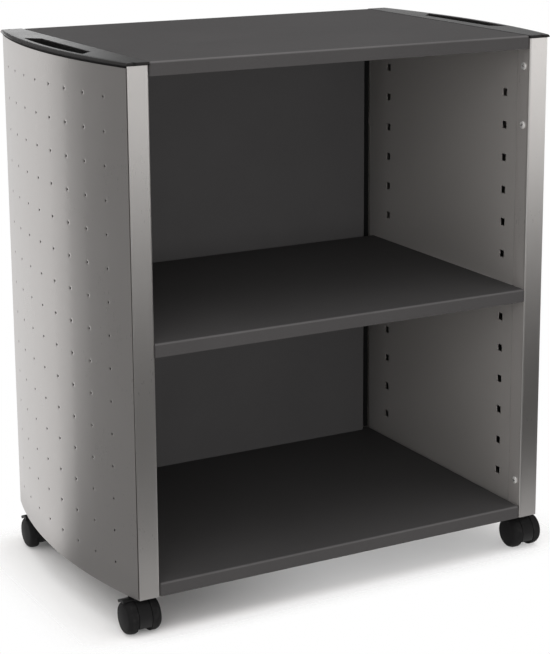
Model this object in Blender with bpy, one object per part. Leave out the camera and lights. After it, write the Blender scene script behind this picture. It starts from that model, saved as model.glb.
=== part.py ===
"""Computer trolley on casters: two hollow curved sides, a top, two shelves and a back, all of folded sheet.

Run with blender --background --python part.py, or from Blender's text editor.
Metres, +Z up, the open front towards -Y, the origin on the floor under the middle of the trolley.
"""

import math

import bmesh
import bpy
from mathutils import Matrix, Vector

# Body
INNER_WIDTH = 0.625  # clear width between the two sides
DEPTH = 0.470  # front face to rear face of the sides
SIDE_HEIGHT = 0.761  # a side without its cap
POST_FACE = 0.032  # width of a side's front edge
BULGE = 0.0305  # how far a side swells past its front and rear edges
SHEET = 0.0015  # steel sheet
BEND = 0.002  # inner radius of a fold
FIT = 0.0003  # gap between pieces that rest on each other

# Corner posts and side panels
POST_RETURN = 0.030  # depth of a front post's inner return, which shows inside
POST_LAP = 0.014  # lap of a post behind the curved panel
PANEL_SETBACK = 0.002  # curved panel's edges behind the faces of the posts
PANEL_FLANGE = 0.015  # inner panel's flange along the rear post

# Top, shelves and back
LIP = 0.020  # height of a shelf's lips
LOWER_OPENING = 0.3335  # clear height between the bottom and the middle shelf
BACK_RECESS = 0.017  # gap beside the back panel's raised face
BACK_STEP = 0.018  # raised face of the back panel in front of the rear face
FLANGE_SPARE = 0.003  # rear post's flange past the back panel's lip

# Square holes and shelf supports
HOLE = 0.0115
HOLE_PITCH = 0.051
HOLE_INSET = 0.065  # columns of holes from the front and rear faces
HOLE_MARGIN = 0.060  # least height of a hole from the ends of a side
PEG_PLAY = 0.0003
PEG_REACH = 0.005  # peg behind the inner panel
LEDGE_REACH = 0.016  # ledge under the shelf
LEDGE_THICKNESS = 0.004
CLIP_THICKNESS = 0.0025  # plate between peg and ledge, against the inner panel
CLIP_SKIRT = 0.007  # the same plate below the peg

# Screws
HEAD_RADIUS = 0.0058
HEAD_EDGE = 0.0008  # upright edge of a head
HEAD_CROWN = 0.0014  # dome above it
SHANK_RADIUS = 0.0018
SHANK_LENGTH = 0.008
SHANK_POINT = 0.0009  # taper at the shank's end
SCREW_HOLE_PLAY = 0.0004
SCREW_INSET = 0.014  # front screws behind the front face
SCREW_DROPS = (0.043, 0.133)  # below the top of a side
SCREW_RISE = 0.059  # lowest screws above the foot of a side

# Handle caps
CAP_OVERHANG = 0.0025
CAP_CHAMFER = 0.0006  # along the cap's lower edge
CAP_BAND = 0.0006  # upright part of that edge
CAP_END_SLOPE = 0.0012  # lean of the cap's front and rear ends
GRIP_WIDTH = 0.0145  # bar between the slot and the outer edge
GRIP_ROLL = 0.0075  # sloping outer edge of that bar at mid-depth
GRIP_ROLL_END = 0.002  # the same at the ends of the cap
GRIP_DROP = 0.0030  # fall of that slope
SLOT_WIDTH = 0.0265
SLOT_LENGTH = 0.184  # along the straight inner edge
SLOT_FLARE = 0.020  # outer edge runs further by this at each end
WELL_DEPTH = 0.025  # collar round the slot, below the sides' top
WALL = 0.002  # plastic wall of collar and locating rim
RIM_DEPTH = 0.012  # locating rim inside the side

# Casters
BASE_THICKNESS = 0.003
CASTER_INSET = 0.043  # swivel axis from the front and rear faces
TRAIL = 0.016  # axle in front of the swivel axis
WHEEL_RADIUS = 0.025
WHEEL_WIDTH = 0.0165
WHEEL_EDGE = 0.009  # rounding of a wheel's outer edge, along the axle
WHEEL_CROWN = 0.0055  # the same across the axle
WHEEL_BEVEL = 0.0015  # on its inner edge
WHEEL_DOME = 0.0012  # bulge of a wheel's outer face
WHEEL_SIDES = 32
WHEEL_PLAY = 0.0004  # between wheel and hood
AXLE_RADIUS = 0.003
WHEEL_COVER = 0.004  # wall that closes a wheel's bore
BORE_PLAY = 0.0002
HOOD_WIDTH = 0.020
HOOD_FLOOR_GAP = 0.012
HOOD_STEP = 0.0005  # hood's body below the wheels' tread
FENDER_PLAY = 0.0011  # between wheel and the hood's fender
FENDER_THICKNESS = 0.0020
FENDER_LIP = 0.0046  # its outer edges are this deep
FENDER_FROM = math.radians(78)  # fender's ends, turned up from the horizontal at the front
FENDER_TO = math.radians(125)
STEM_RADIUS = 0.005
STEM_CHAMFER = 0.0012
STEM_HOLD = 0.020  # stem's depth in the hood
BOSS_RISE = 0.0027  # hood's boss above its fender
SOCKET_WALL = 0.003
SOCKET_HEIGHT = 0.024  # above the base plate
SOCKET_FLANGE = 0.0043  # width round the tube
SOCKET_FLANGE_THICKNESS = 0.0015
SWIVEL_GAP = 0.0005  # between hood and socket

# Fineness
ROUND_SIDES = 20  # stems, sockets, axles and holes
SCREW_SIDES = 10
ARC_STEPS = 24
FENDER_STEPS = 12
FOLD_STEPS = 3
SMOOTH_ANGLE = math.radians(30)
MERGE = 0.000001

# What follows from the sizes above
INNER = INNER_WIDTH / 2
OUTER = INNER + POST_FACE
HALF = DEPTH / 2
AXLE_HEIGHT = WHEEL_RADIUS * math.cos(math.pi / WHEEL_SIDES)  # wheels stand on a flat facet
FENDER_INNER = WHEEL_RADIUS + FENDER_PLAY
FENDER_OUTER = FENDER_INNER + FENDER_THICKNESS
HOOD_RADIUS = WHEEL_RADIUS - HOOD_STEP
HOOD_TOP = AXLE_HEIGHT + FENDER_OUTER + BOSS_RISE
SOCKET_BOTTOM = HOOD_TOP + SWIVEL_GAP
SOCKET_RADIUS = STEM_RADIUS + BORE_PLAY + SOCKET_WALL
FOOT = SOCKET_BOTTOM + SOCKET_FLANGE_THICKNESS + FIT  # floor to the foot of the sides
SOCKET_TOP = FOOT + BASE_THICKNESS + SOCKET_HEIGHT
SIDE_TOP = FOOT + SIDE_HEIGHT
CAP_LOW = SIDE_TOP + FIT
CAP_SHOULDER = CAP_LOW + CAP_CHAMFER + CAP_BAND  # foot of the grip's slope
TOP = CAP_SHOULDER + GRIP_DROP
SIDE_RADIUS = (HALF**2 + BULGE**2) / (2 * BULGE)
PANEL_FACE = INNER + SHEET + FIT  # inner panels' visible face
REAR_SEAT = HALF - SHEET - FIT  # what lies against the front of the rear posts
BOTTOM_SHELF_TOP = FOOT + LIP
MIDDLE_SHELF_TOP = BOTTOM_SHELF_TOP + LOWER_OPENING + LIP
LEDGE_TOP = MIDDLE_SHELF_TOP - SHEET - FIT
PEG = HOLE - 2 * PEG_PLAY
SUPPORT_HEIGHT = LEDGE_TOP - PEG / 2
AXLE_REACH = WHEEL_WIDTH - WHEEL_COVER - FIT  # into each wheel
SIDES = {"left": -1, "right": 1}
ENDS = {"front": -1, "rear": 1}


def finish(name, colour, roughness, metallic=0.0):
    """A plain material with one colour."""
    material = bpy.data.materials.new(name)
    material.use_nodes = True
    shader = material.node_tree.nodes["Principled BSDF"]
    shader.inputs["Base Color"].default_value = (*colour, 1.0)
    shader.inputs["Roughness"].default_value = roughness
    shader.inputs["Metallic"].default_value = metallic
    material.diffuse_color = (*colour, 1.0)
    return material


def add_piece(name, mesh, material, location=(0, 0, 0), parent=None):
    """Links a mesh to the scene as one named piece."""
    if not mesh.materials:
        mesh.materials.append(material)
    mesh.shade_smooth()
    mesh.set_sharp_from_angle(angle=SMOOTH_ANGLE)
    piece = bpy.data.objects.new(name, mesh)
    piece.location = location
    piece.parent = parent
    bpy.context.scene.collection.objects.link(piece)
    return piece


def closed_mesh(name, bm):
    """A mesh from bm with its faces pointing out."""
    bmesh.ops.recalc_face_normals(bm, faces=bm.faces)
    mesh = bpy.data.meshes.new(name)
    bm.to_mesh(mesh)
    bm.free()
    return mesh


def lofted(rings):
    """A closed mesh through rings of points that have the same count, capped at both ends."""
    bm = bmesh.new()
    loops = [[bm.verts.new(point) for point in ring] for ring in rings]
    count = len(loops[0])
    for lower, upper in zip(loops, loops[1:]):
        for i in range(count):
            j = (i + 1) % count
            bm.faces.new((lower[i], lower[j], upper[j], upper[i]))
    bm.faces.new(loops[0])
    bm.faces.new(loops[-1])
    return closed_mesh("loft", bm)


def along_x(u, v, w):
    return (w, u, v)


def along_y(u, v, w):
    return (u, w, v)


def along_z(u, v, w):
    return (u, v, w)


def prism(outline, low, high, place=along_z):
    """A flat outline pushed from low to high along an axis."""
    return lofted([[place(u, v, w) for u, v in outline] for w in (low, high)])


def box(low, high):
    """A block between two corners."""
    outline = [(low[0], low[1]), (high[0], low[1]), (high[0], high[1]), (low[0], high[1])]
    return prism(outline, low[2], high[2])


def disc(radius, low, high, centre=(0, 0), place=along_z, sides=ROUND_SIDES):
    """A cylinder as a prism."""
    turns = [2 * math.pi * (i + 0.5) / sides for i in range(sides)]
    outline = [(centre[0] + radius * math.cos(a), centre[1] + radius * math.sin(a)) for a in turns]
    return prism(outline, low, high, place)


def turned(profile, sides, place):
    """A solid of revolution about place's axis from (radius, height) points that start and end on it."""
    bm = bmesh.new()
    start = math.pi / sides
    points = [place(r * math.cos(start), r * math.sin(start), h) for r, h in profile]
    verts = [bm.verts.new(point) for point in points]
    edges = [bm.edges.new(pair) for pair in zip(verts, verts[1:])]
    bmesh.ops.spin(
        bm,
        geom=verts + edges,
        cent=(0, 0, 0),
        axis=place(0, 0, 1),
        steps=sides,
        angle=2 * math.pi,
    )
    bmesh.ops.remove_doubles(bm, verts=bm.verts, dist=MERGE)
    return closed_mesh("turned", bm)


def folded(path, low, high, place=along_z):
    """A folded sheet: path is its right-hand face, the metal lies to the left, and the folds are rounded."""
    path = [Vector(point) for point in path]
    near, far = [], []

    def add(point, heading):
        left = Vector((-heading.y, heading.x))
        near.append(point)
        far.append(point + left * SHEET)

    add(path[0], (path[1] - path[0]).normalized())
    for before, corner, after in zip(path, path[1:], path[2:]):
        heading = (corner - before).normalized()
        turn = heading.angle_signed((after - corner).normalized()) * -1
        radius = BEND + SHEET if turn > 0 else BEND
        side = 1 if turn > 0 else -1
        start = corner - heading * radius * math.tan(abs(turn) / 2)
        centre = start + Vector((-heading.y, heading.x)) * side * radius
        for step in range(FOLD_STEPS + 1):
            now = Matrix.Rotation(turn * step / FOLD_STEPS, 2) @ heading
            add(centre - Vector((-now.y, now.x)) * side * radius, now)
    add(path[-1], (path[-1] - path[-2]).normalized())

    bm = bmesh.new()
    ends = [[[bm.verts.new(place(*p, w)) for p in line] for line in (near, far)] for w in (low, high)]
    for i in range(len(near) - 1):
        for line in range(2):
            lower, upper = ends[0][line], ends[1][line]
            bm.faces.new((lower[i], lower[i + 1], upper[i + 1], upper[i]))
        for end in ends:
            bm.faces.new((end[0][i], end[0][i + 1], end[1][i + 1], end[1][i]))
    for i in (0, len(near) - 1):
        bm.faces.new((ends[0][0][i], ends[0][1][i], ends[1][1][i], ends[1][0][i]))
    return closed_mesh("folded", bm)


def tray(low, high):
    """A sheet with lips turned down on all four sides and rounded edges."""
    bm = bmesh.new()
    size = Vector(high) - Vector(low)
    bmesh.ops.create_cube(bm, size=1, matrix=Matrix.Diagonal((*size, 1)))
    bmesh.ops.translate(bm, verts=bm.verts, vec=(Vector(low) + Vector(high)) / 2)
    under = [f for f in bm.faces if f.normal.z < -0.5]
    bmesh.ops.delete(bm, geom=under, context="FACES_ONLY")
    rounded = [e for e in bm.edges if not e.is_boundary]
    bmesh.ops.bevel(bm, geom=rounded, offset=BEND + SHEET, segments=FOLD_STEPS, affect="EDGES", profile=0.5)
    mesh = bpy.data.meshes.new("tray")
    bm.to_mesh(mesh)
    bm.free()
    helper = bpy.data.objects.new("tray", mesh)
    bpy.context.scene.collection.objects.link(helper)
    thick = helper.modifiers.new("thickness", "SOLIDIFY")
    thick.thickness = SHEET
    thick.offset = -1
    thick.use_even_offset = True
    return baked(helper)


def baked(helper):
    """The mesh of a helper object with its modifiers applied; the helper is removed."""
    graph = bpy.context.evaluated_depsgraph_get()
    mesh = bpy.data.meshes.new_from_object(helper.evaluated_get(graph))
    bpy.data.objects.remove(helper)
    return mesh


def combined(mesh, joins=(), cuts=()):
    """A mesh with others joined to it and then others cut from it."""
    body = bpy.data.objects.new("body", mesh)
    bpy.context.scene.collection.objects.link(body)
    helpers = []
    for operation, meshes in (("UNION", joins), ("DIFFERENCE", cuts)):
        for other in meshes:
            helper = bpy.data.objects.new(operation.lower(), other)
            helper.hide_render = True
            helper.display_type = "WIRE"
            bpy.context.scene.collection.objects.link(helper)
            helpers.append(helper)
            step = body.modifiers.new(operation.lower(), "BOOLEAN")
            step.operation = operation
            step.solver = "EXACT"
            step.object = helper
    result = baked(body)
    for helper in helpers:
        bpy.data.objects.remove(helper)
    return result


def merged(meshes):
    """Several separate closed meshes as one, for use as a cutter."""
    bm = bmesh.new()
    for mesh in meshes:
        bm.from_mesh(mesh)
    return closed_mesh("merged", bm)


def mirrored(mesh, axis):
    """A copy of a mesh reflected along an axis."""
    other = mesh.copy()
    other.transform(Matrix.Scale(-1, 4, axis))
    other.flip_normals()
    return other


def add_both_sides(name, right_mesh, material):
    """A piece of the right side and its mirror image on the left."""
    add_piece("right_" + name, right_mesh, material)
    add_piece("left_" + name, mirrored(right_mesh, (1, 0, 0)), material)


def side_x(y, offset=0.0):
    """Plan of the right side's curved outer face, or of a line parallel to it."""
    radius = SIDE_RADIUS + offset
    return OUTER + BULGE - SIDE_RADIUS + math.sqrt(radius**2 - y**2)


def spread(low, high, steps=ARC_STEPS):
    return [low + (high - low) * i / steps for i in range(steps + 1)]


def screw_heights():
    return [SIDE_TOP - drop for drop in SCREW_DROPS] + [FOOT + SCREW_RISE]


def screw_hole(low, high, centre, place):
    return disc(SHANK_RADIUS + SCREW_HOLE_PLAY, low, high, centre, place, SCREW_SIDES)


def moved(mesh, matrix):
    mesh.transform(matrix)
    return mesh


def back_screw_x():
    """Middle of the flat lap between a rear post's flange and the back panel's lip."""
    return INNER - (BACK_RECESS - SHEET - BEND) / 2


def back_screw(z):
    """Place of a screw that enters the right rear post from behind."""
    return Matrix.Translation((back_screw_x(), HALF, z)) @ Matrix.Rotation(math.radians(-90), 4, "X")


def front_screw(z):
    """Place of a screw on the inner return of the right front post."""
    return Matrix.Translation((INNER, -HALF + SCREW_INSET, z)) @ Matrix.Rotation(math.radians(-90), 4, "Y")


def front_post():
    """Right front post: inner return with screw holes, front strip, and a lap inside the curved panel."""
    inside = -SHEET - FIT
    path = [
        (INNER, -HALF + POST_RETURN),
        (INNER, -HALF),
        (side_x(-HALF, inside), -HALF),
        (side_x(-HALF + POST_LAP, inside), -HALF + POST_LAP),
    ]
    holes = [
        screw_hole(INNER - SHEET, PANEL_FACE, (-HALF + SCREW_INSET, z), along_x)
        for z in screw_heights()
    ]
    return combined(folded(path, FOOT, SIDE_TOP), cuts=[merged(holes)])


def rear_post():
    """Right rear post: flange behind the back panel's lip, rear strip, and a lap inside the curved panel."""
    inside = -SHEET - FIT
    path = [
        (side_x(HALF - POST_LAP, inside), HALF - POST_LAP),
        (side_x(HALF, inside), HALF),
        (INNER - BACK_RECESS - FLANGE_SPARE, HALF),
    ]
    holes = [
        moved(disc(SHANK_RADIUS + SCREW_HOLE_PLAY, -SHEET, SHEET, sides=SCREW_SIDES), back_screw(z))
        for z in screw_heights()
    ]
    return combined(folded(path, FOOT, SIDE_TOP), cuts=[merged(holes)])


def screw_mesh():
    """Pan-head screw along +Z, with its head's underside just above the origin."""
    edge = FIT + HEAD_EDGE
    dome = [math.radians(a) for a in (0, 30, 60, 90)]
    profile = [
        (0, -SHANK_LENGTH),
        (SHANK_RADIUS - SHANK_POINT, -SHANK_LENGTH),
        (SHANK_RADIUS, -SHANK_LENGTH + SHANK_POINT),
        (SHANK_RADIUS, FIT),
        (HEAD_RADIUS, FIT),
        *[(HEAD_RADIUS * math.cos(a), edge + HEAD_CROWN * math.sin(a)) for a in dome],
    ]
    return turned(profile, SCREW_SIDES, along_z)


def add_screws(material):
    """Three screws on each front post and three on each rear post."""
    mesh = screw_mesh()
    flip = Matrix.Scale(-1, 4, (1, 0, 0))
    for end, place in (("front", front_screw), ("rear", back_screw)):
        for number, z in enumerate(screw_heights(), 1):
            add_piece(f"screw_{end}_right_{number}", mesh, material).matrix_world = place(z)
            add_piece(f"screw_{end}_left_{number}", mesh, material).matrix_world = flip @ place(z) @ flip


def hole_heights():
    """Square holes, counted up and down from the one that holds the middle shelf."""
    low, high = FOOT + HOLE_MARGIN, SIDE_TOP - HOLE_MARGIN
    below = math.floor((SUPPORT_HEIGHT - low) / HOLE_PITCH)
    above = math.floor((high - SUPPORT_HEIGHT) / HOLE_PITCH)
    return [SUPPORT_HEIGHT + HOLE_PITCH * i for i in range(-below, above + 1)]


def inner_panel():
    """Right inner panel: flat sheet with square holes, lapped behind the front post, flanged at the rear post."""
    path = [
        (PANEL_FACE + PANEL_FLANGE, REAR_SEAT),
        (PANEL_FACE, REAR_SEAT),
        (PANEL_FACE, -HALF + SHEET + BEND + FIT),
    ]
    squares = []
    reach = PANEL_FACE + SHEET * 2
    for sign in ENDS.values():
        y = sign * (HALF - HOLE_INSET)
        for z in hole_heights():
            corner = Vector((0, HOLE / 2, HOLE / 2))
            squares.append(box(Vector((INNER, y, z)) - corner, Vector((reach, y, z)) + corner))
    holes = [screw_hole(INNER, reach, (-HALF + SCREW_INSET, z), along_x) for z in screw_heights()]
    return combined(folded(path, FOOT, SIDE_TOP), cuts=[merged(squares + holes)])


def outer_panel():
    """Right curved panel, between the faces of the two posts."""
    edge = HALF - PANEL_SETBACK
    rows = spread(-edge, edge)
    outside = [(side_x(y), y) for y in rows]
    inside = [(side_x(y, -SHEET), y) for y in reversed(rows)]
    return prism(outside + inside, FOOT, SIDE_TOP)


def inside_outline(shrink=0.0):
    """Plan of the space inside a hollow side, with its corners cut off to clear the folds."""
    clear = 2 * (SHEET + FIT)
    inner = PANEL_FACE + SHEET + FIT + shrink
    front = -HALF + SHEET + FIT + shrink
    rear = HALF - clear - shrink
    curve = [(side_x(y, -clear - shrink), y) for y in spread(front + BEND, rear - BEND)]
    return [
        (inner, front + BEND),
        (inner + BEND, front),
        (curve[0][0] - BEND, front),
        *curve,
        (curve[-1][0] - BEND, rear),
        (inner + BEND, rear),
        (inner, rear - BEND),
    ]


def grip_x(y):
    """Plan of the line between the flat of a cap and its sloping edge."""
    end = side_x(HALF, CAP_OVERHANG) - GRIP_ROLL_END
    middle = side_x(0, CAP_OVERHANG) - GRIP_ROLL
    return middle + (end - middle) * (y / HALF) ** 2


def slot_outline(grow=0.0):
    """Plan of the grip slot: a straight inner edge, slanted ends and an outer edge along the grip."""
    half = SLOT_LENGTH / 2 + grow
    edge = half + SLOT_FLARE
    inset = CAP_OVERHANG - GRIP_WIDTH
    outer = [(side_x(y, inset + grow), y) for y in spread(-edge, edge)]
    inner = side_x(0, inset) - SLOT_WIDTH - grow
    return [(inner, -half), *outer, (inner, half)]


def handle_cap():
    """Right handle cap: a lid with a sloping grip, a slot with a collar, and a rim that locates it in the side."""
    depth = HALF + CAP_OVERHANG

    def ring(z, draw_in, plan):
        edge = depth - draw_in
        curve = [(plan(y * HALF / edge), y) for y in spread(-edge, edge)]
        return [(x, y, z) for x, y in [(INNER, -edge), *curve, (INNER, edge)]]

    lid = lofted([
        ring(CAP_LOW, CAP_CHAMFER, lambda y: side_x(y, CAP_OVERHANG - CAP_CHAMFER)),
        ring(CAP_LOW + CAP_CHAMFER, 0.0, lambda y: side_x(y, CAP_OVERHANG)),
        ring(CAP_SHOULDER, 0.0, lambda y: side_x(y, CAP_OVERHANG)),
        ring(TOP, CAP_END_SLOPE, grip_x),
    ])
    rim = combined(
        prism(inside_outline(), SIDE_TOP - RIM_DEPTH, CAP_SHOULDER),
        cuts=[prism(inside_outline(WALL), SIDE_TOP - 2 * RIM_DEPTH, SIDE_TOP)],
    )
    collar = prism(slot_outline(WALL), SIDE_TOP - WELL_DEPTH, CAP_SHOULDER)
    slot = prism(slot_outline(), SIDE_TOP - 2 * WELL_DEPTH, TOP + WELL_DEPTH)
    return combined(lid, joins=[rim, collar], cuts=[slot])


def top_plate():
    """Top plate between the two caps, level with them."""
    return tray((FIT - INNER, -HALF, TOP - LIP), (INNER - FIT, REAR_SEAT, TOP))


def bottom_shelf():
    return tray((FIT - INNER, -HALF, FOOT), (INNER - FIT, REAR_SEAT, BOTTOM_SHELF_TOP))


def middle_shelf():
    """Middle shelf with a front and a rear lip, open at its ends, where it lies on the supports."""
    front, rear = -HALF, HALF - BACK_STEP - FIT
    low = MIDDLE_SHELF_TOP - LIP
    path = [(rear, low), (rear, MIDDLE_SHELF_TOP), (front, MIDDLE_SHELF_TOP), (front, low)]
    return folded(path, FIT - INNER, INNER - FIT, along_x)


def back_panel():
    """Back panel: a raised face with a lip at each side against the flange of a rear post."""
    lip = REAR_SEAT - SHEET
    face = HALF - BACK_STEP
    wide, narrow = INNER - FIT, INNER - BACK_RECESS
    path = [(-wide, lip), (-narrow, lip), (-narrow, face), (narrow, face), (narrow, lip), (wide, lip)]
    low, high = BOTTOM_SHELF_TOP + FIT, TOP - LIP - FIT
    holes = []
    for z in screw_heights():
        hole = disc(SHANK_RADIUS + SCREW_HOLE_PLAY, -4 * SHEET, SHEET, sides=SCREW_SIDES)
        holes.append(moved(hole, back_screw(z)))
        holes.append(mirrored(hole, (1, 0, 0)))
    return combined(folded(path, low, high), cuts=[merged(holes)])


def shelf_support():
    """Clip for the right side at mid-depth: a square peg in the inner panel and a ledge under the shelf."""
    plate = PANEL_FACE - FIT
    peg_end = PANEL_FACE + SHEET + PEG_REACH
    plate_low = LEDGE_TOP - PEG - CLIP_SKIRT
    profile = [
        (peg_end, LEDGE_TOP),
        (plate - LEDGE_REACH, LEDGE_TOP),
        (plate - LEDGE_REACH, LEDGE_TOP - LEDGE_THICKNESS),
        (plate - CLIP_THICKNESS, LEDGE_TOP - LEDGE_THICKNESS),
        (plate - CLIP_THICKNESS, plate_low),
        (plate, plate_low),
        (plate, LEDGE_TOP - PEG),
        (peg_end, LEDGE_TOP - PEG),
    ]
    return prism(profile, -PEG / 2, PEG / 2, along_y)


def add_supports(material):
    right = shelf_support()
    left = mirrored(right, (1, 0, 0))
    for end, toward in ENDS.items():
        place = (0, toward * (HALF - HOLE_INSET), 0)
        add_piece(f"shelf_support_{end}_right", right, material, place)
        add_piece(f"shelf_support_{end}_left", left, material, place)


def caster_places():
    """Name, place and side of each swivel axis, midway across the foot of a side."""
    y = HALF - CASTER_INSET
    x = (PANEL_FACE + side_x(y, -SHEET - FIT)) / 2
    for end, toward in ENDS.items():
        for side, sign in SIDES.items():
            yield f"{end}_{side}", (sign * x, toward * y, 0), sign


def base_plate():
    """Right base plate, in the foot of the hollow side, with holes for two caster sockets."""
    holes = [
        disc(SOCKET_RADIUS + FIT, FOOT - BASE_THICKNESS, FOOT + 2 * BASE_THICKNESS, place[:2])
        for _, place, sign in caster_places()
        if sign > 0
    ]
    return combined(prism(inside_outline(), FOOT, FOOT + BASE_THICKNESS), cuts=[merged(holes)])


def socket():
    """Flanged socket for a stem, round the swivel axis, open at both ends."""
    tube = disc(SOCKET_RADIUS, SOCKET_BOTTOM, SOCKET_TOP)
    flange = disc(SOCKET_RADIUS + SOCKET_FLANGE, SOCKET_BOTTOM, SOCKET_BOTTOM + SOCKET_FLANGE_THICKNESS)
    bore = disc(STEM_RADIUS + BORE_PLAY, 0, SIDE_TOP)
    return combined(flange, joins=[tube], cuts=[bore])


def stem():
    """Stem with chamfered ends, round the swivel axis."""
    low = HOOD_TOP - STEM_HOLD + FIT
    profile = [
        (0, low),
        (STEM_RADIUS - STEM_CHAMFER, low),
        (STEM_RADIUS, low + STEM_CHAMFER),
        (STEM_RADIUS, SOCKET_TOP - STEM_CHAMFER),
        (STEM_RADIUS - STEM_CHAMFER, SOCKET_TOP),
        (0, SOCKET_TOP),
    ]
    return turned(profile, ROUND_SIDES, along_z)


def wheel_edge(face, grow=0.0):
    """Rounded outer edge of a wheel as (radius, height) points, up to its face, or a line round it."""
    turns = [math.radians(a) for a in (0, 30, 60, 90)]
    return [
        (WHEEL_RADIUS + grow - WHEEL_CROWN * (1 - math.cos(a)), face - WHEEL_EDGE * (1 - math.sin(a)))
        for a in turns
    ]


def wheel_room(far):
    """Space that the right wheel needs under the hood's fender."""
    half = HOOD_WIDTH / 2
    edge = wheel_edge(half + WHEEL_PLAY + WHEEL_WIDTH - WHEEL_DOME, FENDER_PLAY)
    profile = [(0, half), (edge[0][0], half), *edge, (edge[-1][0], far), (0, far)]
    return moved(turned(profile, WHEEL_SIDES, along_x), Matrix.Translation((0, -TRAIL, AXLE_HEIGHT)))


def hood():
    """Hood round the swivel axis: body between the wheels, fender round their tops and boss for the stem."""
    half = HOOD_WIDTH / 2
    reach = half + WHEEL_PLAY + WHEEL_WIDTH
    axle = (-TRAIL, AXLE_HEIGHT)
    body = disc(HOOD_RADIUS, -half, half, axle, along_x, WHEEL_SIDES)
    turns = spread(FENDER_FROM, FENDER_TO, FENDER_STEPS)

    def arc(radius, angles):
        return [(axle[0] - radius * math.cos(a), axle[1] + radius * math.sin(a)) for a in angles]

    far = 2 * WHEEL_RADIUS + TRAIL
    outline = arc(FENDER_OUTER - FENDER_LIP, turns) + arc(FENDER_OUTER, reversed(turns))
    room = wheel_room(far)
    fender = combined(prism(outline, -reach, reach, along_x), cuts=[room, mirrored(room, (1, 0, 0))])
    boss = disc(half - WHEEL_PLAY, AXLE_HEIGHT, HOOD_TOP)
    foot = box((-far, -far, -far), (far, far, HOOD_FLOOR_GAP))
    axle_bore = disc(AXLE_RADIUS + BORE_PLAY, -2 * half, 2 * half, axle, along_x)
    stem_bore = disc(STEM_RADIUS + BORE_PLAY, HOOD_TOP - STEM_HOLD, HOOD_TOP + FOOT)
    return combined(body, joins=[fender, boss], cuts=[foot, axle_bore, stem_bore])


def wheel():
    """Wheel along +X from its inner face, with a blind bore for the axle and a rounded outer edge."""
    bore = AXLE_RADIUS + BORE_PLAY
    rim = WHEEL_WIDTH - WHEEL_DOME
    profile = [
        (0, AXLE_REACH + FIT),
        (bore, AXLE_REACH + FIT),
        (bore, 0),
        (WHEEL_RADIUS - WHEEL_BEVEL, 0),
        (WHEEL_RADIUS, WHEEL_BEVEL),
        *wheel_edge(rim),
        (0, WHEEL_WIDTH),
    ]
    return turned(profile, WHEEL_SIDES, along_x)


def axle_mesh():
    half = HOOD_WIDTH / 2 + WHEEL_PLAY + AXLE_REACH
    return disc(AXLE_RADIUS, -half, half, place=along_x)


def add_casters(steel, black, grey):
    """Four casters. Hood, axle and wheels hang on an empty on the swivel axis, and turn with it."""
    meshes = {"socket": socket(), "stem": stem(), "hood": hood(), "axle": axle_mesh(), "wheel": wheel()}
    for name, place, sign in caster_places():
        add_piece(f"caster_socket_{name}", meshes["socket"], grey, place)
        add_piece(f"caster_stem_{name}", meshes["stem"], steel, place)
        swivel = bpy.data.objects.new(f"swivel_axis_{name}", None)
        swivel.location = place
        bpy.context.scene.collection.objects.link(swivel)
        add_piece(f"caster_hood_{name}", meshes["hood"], black, parent=swivel)
        on_axle = Vector((0, -TRAIL, AXLE_HEIGHT))
        add_piece(f"caster_axle_{name}", meshes["axle"], steel, on_axle, swivel)
        for label, facing in (("outer", sign), ("inner", -sign)):
            seat = on_axle + Vector((facing * (HOOD_WIDTH / 2 + WHEEL_PLAY), 0, 0))
            piece = add_piece(f"caster_wheel_{name}_{label}", meshes["wheel"], black, seat, swivel)
            piece.rotation_euler.z = 0 if facing > 0 else math.pi


def main():
    for old in list(bpy.data.objects):
        bpy.data.objects.remove(old)
    silver = finish("silver_sheet", (0.55, 0.55, 0.54), 0.38, 0.75)
    dark = finish("anthracite_sheet", (0.085, 0.086, 0.090), 0.45)
    cap = finish("grey_plastic", (0.20, 0.195, 0.19), 0.40)
    black = finish("black_plastic", (0.020, 0.020, 0.021), 0.42)
    zinc = finish("zinc_steel", (0.62, 0.62, 0.60), 0.32, 1.0)

    add_both_sides("front_post", front_post(), silver)
    add_both_sides("rear_post", rear_post(), silver)
    add_both_sides("inner_panel", inner_panel(), silver)
    add_both_sides("outer_panel", outer_panel(), silver)
    add_both_sides("handle_cap", handle_cap(), cap)
    add_both_sides("base_plate", base_plate(), zinc)
    add_piece("top_plate", top_plate(), dark)
    add_piece("middle_shelf", middle_shelf(), dark)
    add_piece("bottom_shelf", bottom_shelf(), dark)
    add_piece("back_panel", back_panel(), dark)
    add_supports(black)
    add_screws(zinc)
    add_casters(zinc, black, cap)


main()
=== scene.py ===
"""Visual model of a computer trolley: hollow silver sides, dark shelves, grey handle caps, black casters.

Laid out as an add-on and run as a script. Sizes are in metres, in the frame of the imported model:
right is +X, the open front faces -Y, and the floor is at zero.
"""

import math

import bmesh
import bpy
from mathutils import Matrix, Vector


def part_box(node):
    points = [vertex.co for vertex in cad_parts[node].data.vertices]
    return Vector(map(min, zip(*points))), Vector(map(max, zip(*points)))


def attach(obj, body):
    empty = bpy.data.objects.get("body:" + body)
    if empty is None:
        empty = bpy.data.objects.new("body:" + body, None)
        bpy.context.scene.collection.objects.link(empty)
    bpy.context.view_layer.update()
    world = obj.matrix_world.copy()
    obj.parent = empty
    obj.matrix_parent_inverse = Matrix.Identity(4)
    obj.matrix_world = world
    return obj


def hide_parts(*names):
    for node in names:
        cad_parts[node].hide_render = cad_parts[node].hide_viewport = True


bl_info = {
    "name": "Computer trolley",
    "version": (1, 0, 0),
    "blender": (4, 5, 0),
    "location": "3D View > Sidebar > Trolley",
    "description": "Builds a computer trolley with perforated sides, shelves, handle caps and casters",
    "category": "Object",
}

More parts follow.
